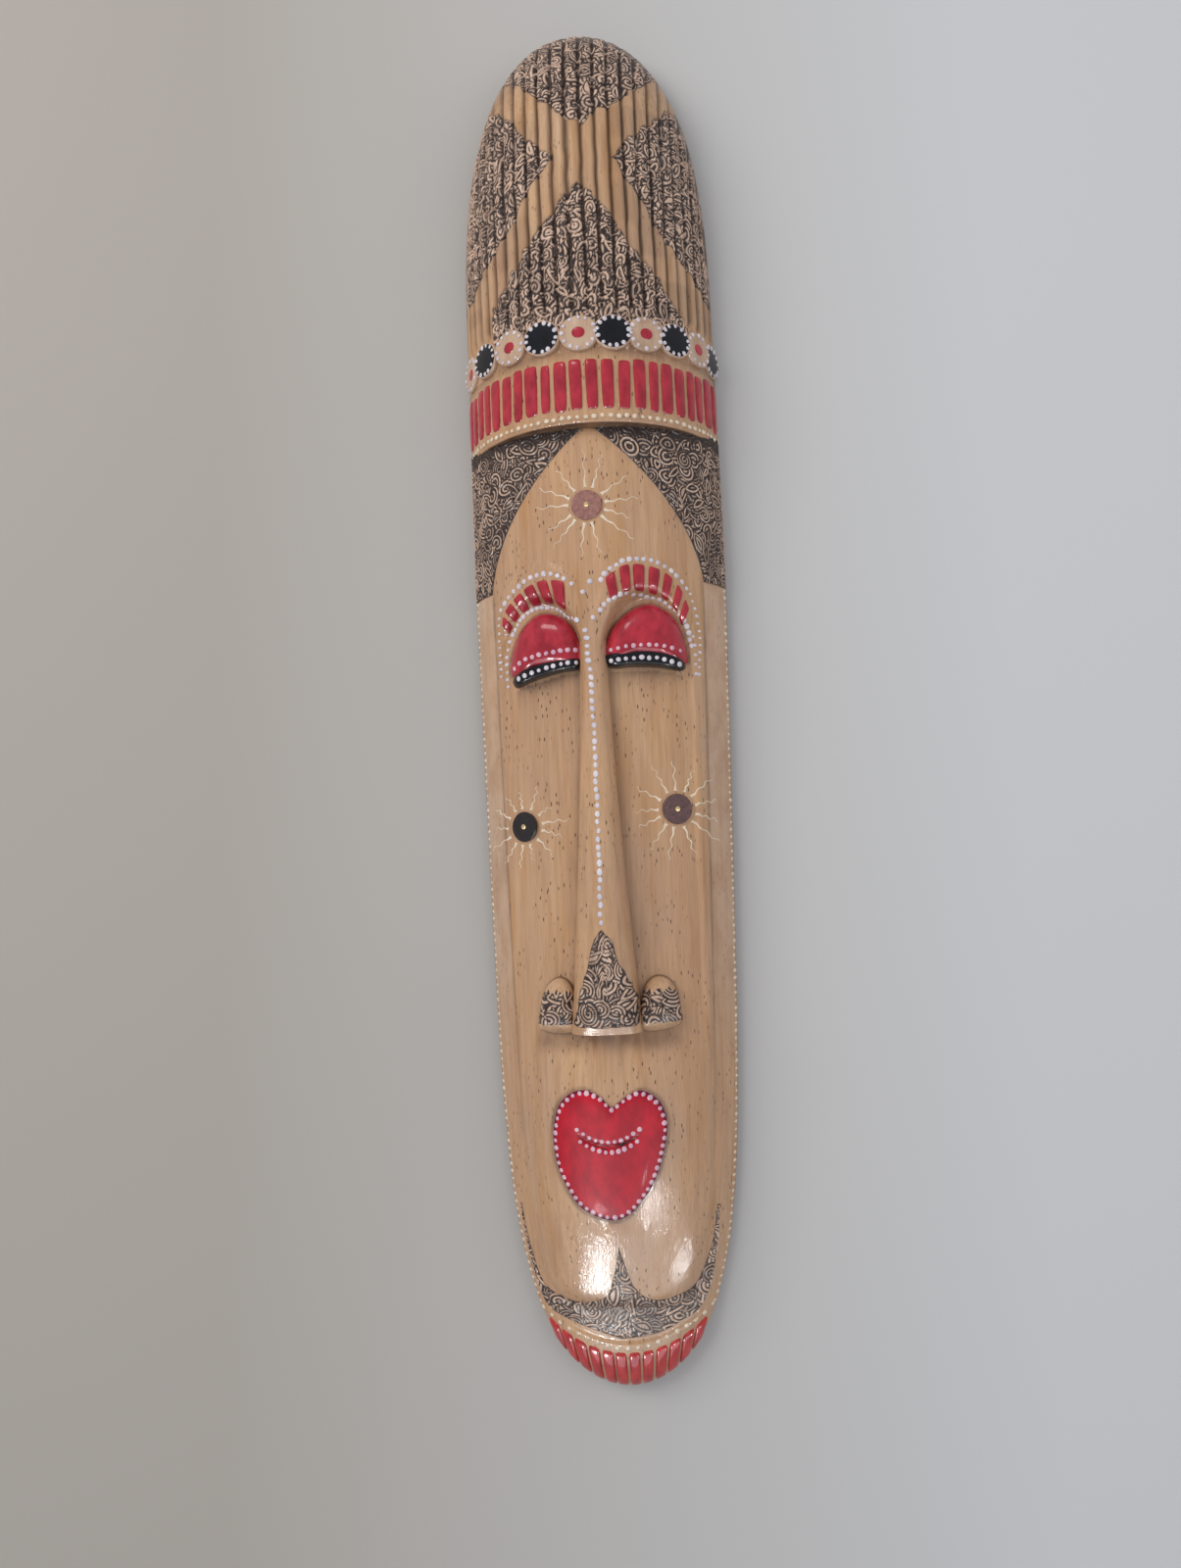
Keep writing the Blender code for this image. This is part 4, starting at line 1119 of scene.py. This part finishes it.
BOSS_FOOT = 0.0010  # the outermost bosses are cut off here, clear of the wall
boss_places = []
for i in range(-4, 6):
    arc = BOSS_START + i * (BOSS_PITCH_RIGHT if i > 0 else BOSS_PITCH_LEFT)
    lift = BOSS_LIFT * (1 - 0.7 * float(smooth(0.80, 0.95, abs(arc) / HALF_ARC)))
    matrix = stand(hat_surface, float(across(arc) + middle_line(BOSS_Y)), BOSS_Y)
    boss_places.append((matrix, lift, i % 2 == 1))


def bosses():
    bm = bmesh.new()
    for matrix, lift, _ in boss_places:
        merge_into(bm, button(BOSS_RADIUS, BOSS_RADIUS * BOSS_STRETCH, -0.004, lift, matrix, 0.45))
    for vert in bm.verts:
        vert.co.z = max(vert.co.z, BOSS_FOOT)
    return bm


def boss_paint(black):
    bm = bmesh.new()
    for matrix, lift, is_black in boss_places:
        if is_black and black:
            merge_into(bm, button(0.0119, 0.0133, lift - 0.001, lift + 0.0003, matrix, 0.8))
        elif not is_black and not black:
            merge_into(bm, button(0.0044, 0.0050, lift - 0.001, lift + 0.0004, matrix, 0.8, 20))
    return bm


bosses_obj = finish_piece("bosses", bosses(), WOOD)
set_paint(bosses_obj, 0.10, 0.65)
finish_piece("boss_black", boss_paint(True), BLACK)
finish_piece("boss_red", boss_paint(False), RED)

# %% [markdown]
# ## Red bars
#
# The bars of the band, brows and collar are cut by grooves on each side and painted. Each is a pillow with
# rounded corners between four given corners.

# %% Bars
BAR_POWER = 7.0  # how square its corners are
BAR_SINK = 0.0010
BAND_BARS = 22
COLLAR_BARS = 12
COLLAR_HALF = 0.057


def bar_pad(surface, corners, lift, cells=(7, 14)):
    """One bar from its corners: two below from left to right, then two above."""
    bm, u, v = unit_grid(*cells)
    u, v = np.sin((u - 0.5) * math.pi), np.sin((v - 0.5) * math.pi)
    m = np.maximum(np.abs(u), np.abs(v))
    safe = np.maximum(m, 1e-9)
    pull = (np.abs(u / safe) ** BAR_POWER + np.abs(v / safe) ** BAR_POWER) ** (-1 / BAR_POWER)
    u, v = u * pull, v * pull
    (ax, ay), (bx, by), (cx, cy), (dx, dy) = corners
    s, t = (u + 1) / 2, (v + 1) / 2
    x = (ax * (1 - s) + bx * s) * (1 - t) + (cx * (1 - s) + dx * s) * t
    y = (ay * (1 - s) + by * s) * (1 - t) + (cy * (1 - s) + dy * s) * t
    rise = np.where(m > 0.999, -BAR_SINK, lift * np.sqrt(1 - np.clip(m, 0, 1) ** 5))
    normal = normal_of(surface, x, y)
    points = np.stack([x, y, surface(x, y)], axis=1) + normal * rise[:, None]
    points[:, 2] = np.maximum(points[:, 2], 0.0004)
    set_points(bm, points)
    return bm


rng = np.random.default_rng(3)


def band_bars():
    bm = bmesh.new()
    pitch = 2 * HALF_ARC / BAND_BARS
    gaps = -HALF_ARC + pitch * np.arange(BAND_BARS + 1) + rng.uniform(-0.0012, 0.0012, BAND_BARS + 1)
    for left, right in zip(gaps, gaps[1:]):
        low = RIM_Y + 0.0085 + rng.uniform(-0.0008, 0.0008)
        high = RIM_Y + 0.0455 + rng.uniform(-0.0015, 0.0010)
        g = rng.uniform(0.0007, 0.0014, 4) + np.array([0.0004, 0.0004, 0, 0])
        lean = rng.uniform(-0.0006, 0.0006)
        xs = across(np.array([left + g[0], right - g[1], left + g[2] + lean, right - g[3] + lean]))
        xs = xs + middle_line(RIM_Y)
        corners = [(xs[0], low), (xs[1], low), (xs[2], high), (xs[3], high)]
        merge_into(bm, bar_pad(hat_surface, corners, 0.0014))
    return bm


finish_piece("band_bars", band_bars(), RED)

BROWS = {
    "left": ([(-69, 42), (-67, 51), (-58, 60), (-45, 67.5), (-32, 69), (-20, 66)],
             [(-64.5, 36), (-57, 46.5), (-47, 52.5), (-36, 54.5), (-27, 52), (-20, 46)],
             [(0.0, 0.11), (0.16, 0.28), (0.32, 0.44), (0.48, 0.61), (0.65, 0.78), (0.82, 0.99)]),
    "right": ([(8, 67), (21, 75.5), (34, 76), (46, 73), (54, 68), (61, 59), (66, 45)],
              [(11, 51), (24, 57.5), (36, 57.5), (47, 54), (55, 47), (58, 41), (60.5, 33)],
              [(0.0, 0.11), (0.16, 0.26), (0.29, 0.40), (0.44, 0.545), (0.59, 0.68), (0.74, 0.835),
               (0.89, 0.99)]),
}


def on_line(points, share):
    """Points at given shares of the length of a smooth line through a few points."""
    p = np.array(points, float)
    dense = []
    padded = np.vstack([2 * p[0] - p[1], p, 2 * p[-1] - p[-2]])
    for i in range(1, len(padded) - 2):
        dense.append(between(*padded[i - 1 : i + 3], np.linspace(0, 1, 24, endpoint=False)[:, None]))
    dense = np.vstack([*dense, p[-1:]])
    run = distances(dense)
    want = np.asarray(share) * run[-1]
    return np.stack([np.interp(want, run, dense[:, k]) for k in (0, 1)], axis=-1) * MM


def brow_bars():
    bm = bmesh.new()
    for outer, inner, shares in BROWS.values():
        for span in shares:
            low, high = on_line(inner, span), on_line(outer, span)
            corners = [tuple(low[0]), tuple(low[1]), tuple(high[0]), tuple(high[1])]
            merge_into(bm, bar_pad(face_surface, corners, 0.0016, (9, 13)))
    return bm


finish_piece("brow_bars", brow_bars(), RED)


def collar_bars():
    bm = bmesh.new()
    for i in range(COLLAR_BARS):
        edges = COLLAR_HALF * (np.array([i, i + 1]) - COLLAR_BARS / 2) / (COLLAR_BARS / 2)
        g = rng.uniform(0.0003, 0.0010, 2)
        left, right = edges[0] + g[0], edges[1] - g[1]
        corners = []
        for share, fan in ((0.94, 0.90), (0.0, 1.0)):
            for x in (left, right):
                here = x * fan
                low_y = np.interp(abs(here), chin_w[::-1], chin_y[::-1])
                high_y = float(collar_line(x)) - 0.0072
                corners.append((here, high_y + (low_y - high_y) * share))
        merge_into(bm, bar_pad(face_surface, corners, 0.0021, (9, 20)))
    return bm


chin_y = np.linspace(TAPER_START, BOTTOM, 3000)
chin_w = half_width(chin_y)
finish_piece("collar_bars", collar_bars(), SCARLET)

# %% [markdown]
# ## Nostrils and the swirls on the nose and chin
#
# The nostrils are two round bulges cut off level with the nose. The lower nose, the nostrils and the chin
# carry the same swirls as the hair, only finer.

# %% Nostrils
NOSTRIL_LEFT = Outline(
    [(-50, -246), (-50.5, -232), (-46, -217), (-38, -210), (-30, -212), (-25, -222), (-24, -246)],
    (-37, -232))
NOSTRIL_RIGHT = Outline(
    [(46, -245), (47.5, -232), (44.5, -218), (37, -211), (28, -212), (22, -222), (20, -246)],
    (36, -232))


def nostril_height(outline):
    def height(x, y):
        r = np.clip(outline.share(x, y), 0, 1)
        return 0.0135 * np.sqrt(1 - r**2.4) + 0.0006

    return height


def swirled_pad(outline, surface, height, depth, cells, plain_above=0.0, plain_below=-1.0, ragged=0.0):
    """A cushion whose skin is swirled between two heights along the mask, and the paint for it."""
    bm, r, x, y = outlined_grid(outline, cells, ragged)
    swirl = nose_swirls.at(x, y)
    edge = smooth(1.0, 0.9, r)
    wave = 0.0011 * np.sin(x * 900) + 0.0007 * np.sin(x * 2100 + 1)
    area = smooth(plain_above + 0.0006, plain_above - 0.0006, y + wave)
    area = area * smooth(plain_below - 0.0003, plain_below + 0.0003, y + 0.3 * wave)
    z = surface(x, y) + np.where(r > 0.9995, -0.0015, height(x, y)) + depth * (swirl - 0.4) * edge * area
    set_points(bm, np.stack([x, y, z], axis=1))
    # Painted shade in the crevice round the edge of the pad.
    return bm, (0.8 * smooth(0.93, 1.0, r), swirl, area)


for name, outline in (("nostril_left", NOSTRIL_LEFT), ("nostril_right", NOSTRIL_RIGHT)):
    bm, paint = swirled_pad(outline, face_surface, nostril_height(outline), 0.0009, 96, -0.2195, -0.2415)
    set_paint(finish_piece(name, bm, SWIRLS), *paint)

NOSE_PATCH = Outline(
    [(-3, -175.5), (-7, -181), (-9.8, -188.5), (-12.4, -200), (-17, -212), (-20, -222), (-22.5, -233),
     (-24.5, -240.5), (-16, -242), (-3, -242.5), (10, -242), (19.5, -240.5), (20, -232), (18.4, -222),
     (15, -212), (9.5, -203), (6.2, -194), (4, -185), (-0.5, -179)], (-3, -226))
bm, paint = swirled_pad(NOSE_PATCH, nose_surface, lambda x, y: 0.0004 + 0 * x, 0.0010, 116, ragged=0.035)
set_paint(finish_piece("nose_swirls", bm, SWIRLS), *paint)

# %% Chin
CHIN_TOP = (
    [(-72.7, -372), (-70.3, -387), (-66.5, -403), (-58.5, -425.5), (-44, -433), (-24, -432), (-10, -425),
     (-4.5, -408), (-1.5, -390)],
    [(-1.5, -390), (2, -404), (7.5, -420), (20, -430), (36, -429), (50, -423), (61, -401), (64.4, -387),
     (66.8, -373)],
)
CHIN_LOW = (
    [(-73.4, -372), (-72, -387), (-69, -403), (-62, -432), (-56, -444), (-42, -450), (-27, -455), (-3, -463)],
    [(-3, -463), (21, -459), (38, -452), (52, -444), (60, -428), (65, -402), (67, -387), (68, -373)],
)


def chin_line(halves, u):
    """Points at u from 0 to 1 along two lines that meet in the middle."""
    line = np.vstack([on_line(half, np.linspace(0, 1, 200)) for half in halves])
    return np.stack([np.interp(u * 399, range(400), line[:, k]) for k in (0, 1)], axis=1)


def chin_place(u, v):
    a, b = chin_line(CHIN_TOP, u), chin_line(CHIN_LOW, u)
    p = b + (a - b) * v[:, None]
    x, y = p[:, 0], p[:, 1]
    swirl = chin_swirls.at(x, y)
    edge = smooth(0.0, 0.06, v) * smooth(1.0, 0.94, v)
    normal = normal_of(face_surface, x, y)
    lift = 0.0004 * edge + 0.0008 * swirl * edge - 0.0004 * (1 - edge)
    points = np.stack([x, y, face_surface(x, y)], axis=1) + normal * lift[:, None]
    # Painted shade along the top and bottom edges, where the sheet sinks into the face.
    return points, (0.85 * (1 - edge), swirl, 0 * u + 1)


sheet("chin_swirls", 400, 64, chin_place, SWIRLS)

# %% [markdown]
# ## Dots
#
# Hundreds of small drops of white paint follow every edge. Each is a low drop, a squashed sphere set half
# into the surface, and no two are quite alike.

# %% Dots
dot_rng = np.random.default_rng(17)


class Drops:
    """Collects drops of paint in one mesh."""

    def __init__(self):
        self.bm = bmesh.new()
        self.batch = bmesh.new()
        self.count = 0

    def drop(self, matrix, radius, stretch=1.0):
        size = radius * dot_rng.uniform(0.82, 1.18)
        shape = Matrix.Diagonal((size, size * stretch * dot_rng.uniform(0.9, 1.15), 0.42 * size, 1))
        bmesh.ops.create_uvsphere(self.batch, u_segments=8, v_segments=5, radius=1, matrix=matrix @ shape)
        self.count += 1
        if self.count % 40 == 0:
            self.gather()

    def gather(self):
        merge_into(self.bm, self.batch)
        self.batch = bmesh.new()

    def on(self, surface, points, radius, stretch=1.0, jitter=0.3):
        for x, y in points:
            x += dot_rng.uniform(-jitter, jitter) * MM
            y += dot_rng.uniform(-jitter, jitter) * MM
            self.drop(stand(surface, x, y), radius, stretch)

    def along(self, surface, line, count, radius, stretch=1.0, jitter=0.3):
        self.on(surface, on_line(line, np.linspace(0, 1, count)), radius, stretch, jitter)


drops, cream_drops, pink_drops = Drops(), Drops(), Drops()

# %% Dots on the hat
RIM_DOTS = 43
for i in range(RIM_DOTS):
    arc = -HALF_ARC * 0.985 + 2 * HALF_ARC * 0.985 * i / (RIM_DOTS - 1)
    cream_drops.on(hat_surface, [(float(across(arc)), RIM_Y + 0.0038)], 0.00165, 1.1, 0.4)
for matrix, lift, is_black in boss_places:
    number, ring, longer, radius = (13, 0.0104, 1.2, 0.0015) if is_black else (12, 0.0108, 1.1, 0.0014)
    for k in range(number):
        a = 2 * math.pi * (k + dot_rng.uniform(-0.15, 0.15)) / number
        spot = Matrix.Translation((ring * math.cos(a), BOSS_STRETCH * ring * math.sin(a), lift + 0.0003))
        spot = spot @ Matrix.Rotation(a, 4, "Z")
        drops.drop(matrix @ spot @ Matrix.Diagonal((longer, 1, 1, 1)), radius)
print(f"dots on the hat: {cream_drops.count + drops.count}")

# %% Dots round the eyes and down the nose
BROW_ROWS = (  # a line in millimetres, the number of dots, their radius and how much longer than wide
    ([(-70, 54), (-60, 64), (-46, 72), (-32, 73), (-21, 68)], 12, 0.0021, 1.0),  # over the left brow
    ([(-72, 6), (-72.5, 20), (-73, 34), (-72, 48)], 9, 0.0011, 1.7),  # outside the left eye
    ([(-67, -2), (-67.5, 14), (-66, 26), (-62, 35)], 8, 0.0014, 1.4),  # beside the left eye
    ([(-62, 35), (-54, 46), (-46, 51), (-36, 52.5), (-28, 50), (-20, 43), (-13, 38)],
     17, 0.0020, 1.0),  # under the left brow
    ([(4, 44), (9, 50), (17, 54), (27, 56), (38, 55), (48, 51), (56, 44), (63, 35), (66, 20)],
     20, 0.0020, 1.0),  # under the right brow
    ([(5, 66), (10, 72), (22, 79), (35, 80), (47, 77), (57, 70), (64.5, 61)],
     15, 0.0021, 1.0),  # over the right brow
    ([(67, 57), (70, 46), (72.5, 30), (72, 14), (71, 0)], 12, 0.0011, 1.7),  # outside the right eye
    ([(67.5, 27), (69, 14), (68.5, 0)], 5, 0.0012, 1.4),  # beside the right eye
)
BETWEEN_BROWS = [(-0.0155, 0.064), (-0.008, 0.058), (-0.0025, 0.065), (-0.0011, 0.0392)]
NOSE_ROW = [(-7, 31), (-6, 15), (-4, -15), (-3.5, -60), (-3, -110), (-3, -172)]
for line, number, radius, stretch in BROW_ROWS:
    drops.along(face_surface, line, number, radius, stretch)
drops.on(face_surface, BETWEEN_BROWS, 0.0019)
drops.along(nose_surface, NOSE_ROW, 37, 0.0018, 1.25, 0.5)
for group, outline, rise, line, number, radius in (
    (pink_drops, LID_LEFT, lid_rise, [(-60, 8.5), (-52, 13), (-40, 16), (-28, 17.5), (-15, 18)], 10, 0.0017),
    (pink_drops, LID_RIGHT, lid_rise, [(10, 16.5), (22, 18), (34, 18.6), (46, 17.8), (58, 15)], 10, 0.0017),
    (drops, LASH_LEFT, lash_rise, [(-57, 0.2), (-47, 3.6), (-36, 6.8), (-25, 8.6), (-15, 8.8)], 9, 0.0018),
    (drops, LASH_RIGHT, lash_rise, [(10, 8.6), (22, 9.8), (34, 10.0), (46, 8.6), (57, 5)], 10, 0.0018),
):
    group.along(raised_face(outline, rise), line, number, radius)
print(f"dots so far: {sum(group.count for group in (drops, cream_drops, pink_drops))}")

# %% Dots on the mouth and along the edges
LIP_DOTS = 52
SIDE_DOTS = 96
COLLAR_ROW = [(-60, -446), (-44, -455), (-28, -461), (-7, -467.5), (12, -466.5), (34, -458), (50, -451),
              (60, -444)]
lips_edge = LIPS.middle + (LIPS.loop - LIPS.middle) * 0.955
lips_edge = np.vstack([lips_edge, lips_edge[:1]])
run = distances(lips_edge)
for k in range(LIP_DOTS):
    x, y = (float(np.interp(run[-1] * k / LIP_DOTS, run, lips_edge[:, i])) for i in (0, 1))
    pink_drops.on(lips_surface, [(x, y)], 0.0017, 1.1, 0.15)
for shift, number, half in ((3.4, 11, 21.5), (-3.2, 10, 19.5)):
    xs = np.linspace(-5 - half, -5 + half, number) * MM
    pink_drops.on(lips_surface, [(float(x), float(smile_y(x)) + shift * MM) for x in xs], 0.0017, 1.0, 0.15)
cream_drops.along(face_surface, COLLAR_ROW, 19, 0.0018)
for side in (-1, 1):
    for y in np.linspace(0.066, -0.442, SIDE_DOTS):
        x = side * (float(half_width(y)) - 0.0012)
        cream_drops.on(face_surface, [(x, float(y))], 0.0013, 1.5, 0.2)
for name, group, paint in (
    ("dots", drops, WHITE), ("cream_dots", cream_drops, CREAM), ("pink_dots", pink_drops, PINK),
):
    group.gather()
    print(f"{name}: {group.count} drops of paint")
    finish_piece(name, group.bm, paint)

# %% [markdown]
# ## Discs, tacks and rays
#
# Each disc has a brass tack through its middle and thirteen wavy rays around it, drawn with a thin brush.

# %% Rays
DISCS = {"forehead": (-0.0030, along(0.6200)), "left_cheek": (-0.615 * HALF, along(0.3960)),
         "right_cheek": (0.546 * HALF, along(0.4040))}
RAY_LENGTHS = {"forehead": (0.018, 0.029), "left_cheek": (0.009, 0.021), "right_cheek": (0.015, 0.024)}
RAYS = 13
RAY_START = 0.0128
RAY_HALF_WIDTH = 0.00058
ray_rng = np.random.default_rng(29)


def ray(surface, start, angle, length):
    bm, u, v = unit_grid(4, 34)
    bend = ray_rng.uniform(-0.25, 0.25)
    waves = ray_rng.uniform(2.2, 3.4)
    phase = ray_rng.uniform(0, 6)
    along_ray = RAY_START + length * v
    sway = 0.0011 * np.sin(waves * 2 * math.pi * v + phase) * v ** 0.6 + bend * 0.006 * v**2
    wide = (RAY_HALF_WIDTH + 0.0009 * np.exp(-v * 9)) * (1 - 0.45 * v)
    side = sway + wide * (2 * u - 1)
    x = start[0] + along_ray * math.cos(angle) - side * math.sin(angle)
    y = start[1] + along_ray * math.sin(angle) + side * math.cos(angle)
    rise = 0.0005 * (1 - (2 * u - 1) ** 2) - 0.0001
    normal = normal_of(surface, x, y)
    set_points(bm, np.stack([x, y, surface(x, y)], axis=1) + normal * rise[:, None])
    return bm


def rays():
    bm = bmesh.new()
    for place, start in DISCS.items():
        for k in range(RAYS):
            angle = 2 * math.pi * (k + ray_rng.uniform(-0.18, 0.18)) / RAYS + 0.2
            length = ray_rng.uniform(*RAY_LENGTHS[place])
            merge_into(bm, ray(face_surface, start, angle, length))
    return bm


finish_piece("rays", rays(), CREAM)
for name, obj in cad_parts.items():
    if name.startswith(("disc", "tack")):
        obj.data.materials.clear()
        obj.data.materials.append(DISC_LOOKS.get(name, BRASS))

# %% [markdown]
# ## Which solid each piece stands for
#
# The carved surfaces together take the place of the mask's plain solid.

# %% Replacing the plain solid
for name in ("face_ground", "crown_left", "crown_right", "hat_band", "hair_left", "hair_right", "back",
             "nose", "bosses", "nostril_left", "nostril_right", "nose_swirls", "chin_swirls", "eyelids",
             "lashes", "lips", "boss_black", "boss_red", "band_bars", "brow_bars", "collar_bars", "dots",
             "cream_dots", "pink_dots", "smile", "rays"):
    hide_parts("mask")

# %% [markdown]
# ## Floor, light and camera
#
# The mask lies on a pale floor in soft daylight from the upper left; the floor's colour is painted lighter
# towards the right, a painted pool of window light. The camera looks down at it from a little under ninety
# centimetres, a little to the right of its middle.

# %% Floor
floor_mesh = bpy.data.meshes.new("floor")
floor_bm = bmesh.new()
bmesh.ops.create_grid(floor_bm, x_segments=2, y_segments=2, size=3.0)
floor_bm.to_mesh(floor_mesh)
floor_bm.free()
floor = bpy.data.objects.new("floor", floor_mesh)
bpy.context.scene.collection.objects.link(floor)
floor_look = Nodes("floor", 0.95)
where = floor_look.add("ShaderNodeSeparateXYZ", {0: floor_look.coords((1, 1, 1))})
# Painted light: the floor's colour grows lighter from left to right.
painted_light_across_floor = floor_look.ramp(where.outputs[0], -0.30, 0.30)
floor_colour = floor_look.mix(painted_light_across_floor, seen(176, 170, 162), seen(208, 209, 210))
floor_mesh.materials.append(floor_look.finish(floor_colour))

# %% Light
def area_light(name, place, aim, size, power, colour=(1, 1, 1), mirrored=False):
    """A lamp that lights the mask, or, if mirrored, one that is seen only in the varnish."""
    data = bpy.data.lights.new(name, "AREA")
    data.shape = "RECTANGLE"
    data.size, data.size_y = size
    data.energy = power
    data.color = colour
    lamp = bpy.data.objects.new(name, data)
    lamp.location = place
    lamp.rotation_euler = (Vector(aim) - Vector(place)).to_track_quat("-Z", "Y").to_euler()
    lamp.visible_glossy = mirrored
    lamp.visible_diffuse = not mirrored
    bpy.context.scene.collection.objects.link(lamp)


area_light("window_left", (-1.5, 0.9, 1.7), (0, 0, 0), (1.2, 1.6), 29, (1.0, 0.98, 0.95))
area_light("fill", (1.6, 0.2, 1.5), (0, 0, 0), (1.4, 1.4), 8)
for name, place, aim, size, power, colour in (
    ("window_near", (-0.86, -1.78, 1.6), (-0.016, -0.404, 0.05), (0.34, 0.72), 56, (0.93, 0.97, 1.0)),
    ("pane", (0.75, -1.2, 1.6), (0.03, -0.35, 0.06), (0.14, 0.24), 8, (0.95, 0.98, 1.0)),
    ("pane_low", (1.65, -1.66, 0.90), (0.043, -0.408, 0.039), (0.20, 0.34), 12, (0.95, 0.98, 1.0)),
    ("sky", (0.3, -2.2, 1.6), (0.0, -0.42, 0.045), (3.6, 1.6), 46, (0.86, 0.93, 1.0)),
    ("window_top", (-0.48, 1.6, 1.6), (0.0, 0.03, 0.06), (0.30, 0.45), 3, (1.0, 0.98, 0.96)),
):
    area_light(name, place, aim, size, power, colour, mirrored=True)
bpy.context.scene.view_settings.view_transform = "Standard"
ROOM_COLOUR = (0.92, 0.94, 1.0, 1)
ROOM_STRENGTH = 0.50
world = bpy.data.worlds.new("room")
bpy.context.scene.world = world
world.use_nodes = True
background = world.node_tree.nodes["Background"]
background.inputs[0].default_value = ROOM_COLOUR
background.inputs[1].default_value = ROOM_STRENGTH

# %% Camera
LENS = 26.55
CAMERA_PLACE = (0.06282, -0.14151, 0.85791)
camera_data = bpy.data.cameras.new("camera")
camera_data.sensor_width = 36
camera_data.sensor_fit = "AUTO"
camera_data.lens = LENS
camera = bpy.data.objects.new("camera", camera_data)
bpy.context.scene.collection.objects.link(camera)
right = Vector((0.995083, -0.038153, -0.091401))
up = Vector((0.045227, 0.996034, 0.076621))
back_axis = Vector((0.088115, -0.080378, 0.992862))
turn = Matrix((right, up, back_axis)).transposed().to_4x4()
camera.matrix_world = Matrix.Translation(CAMERA_PLACE) @ turn
camera_data.clip_start = 0.02
bpy.context.scene.camera = camera
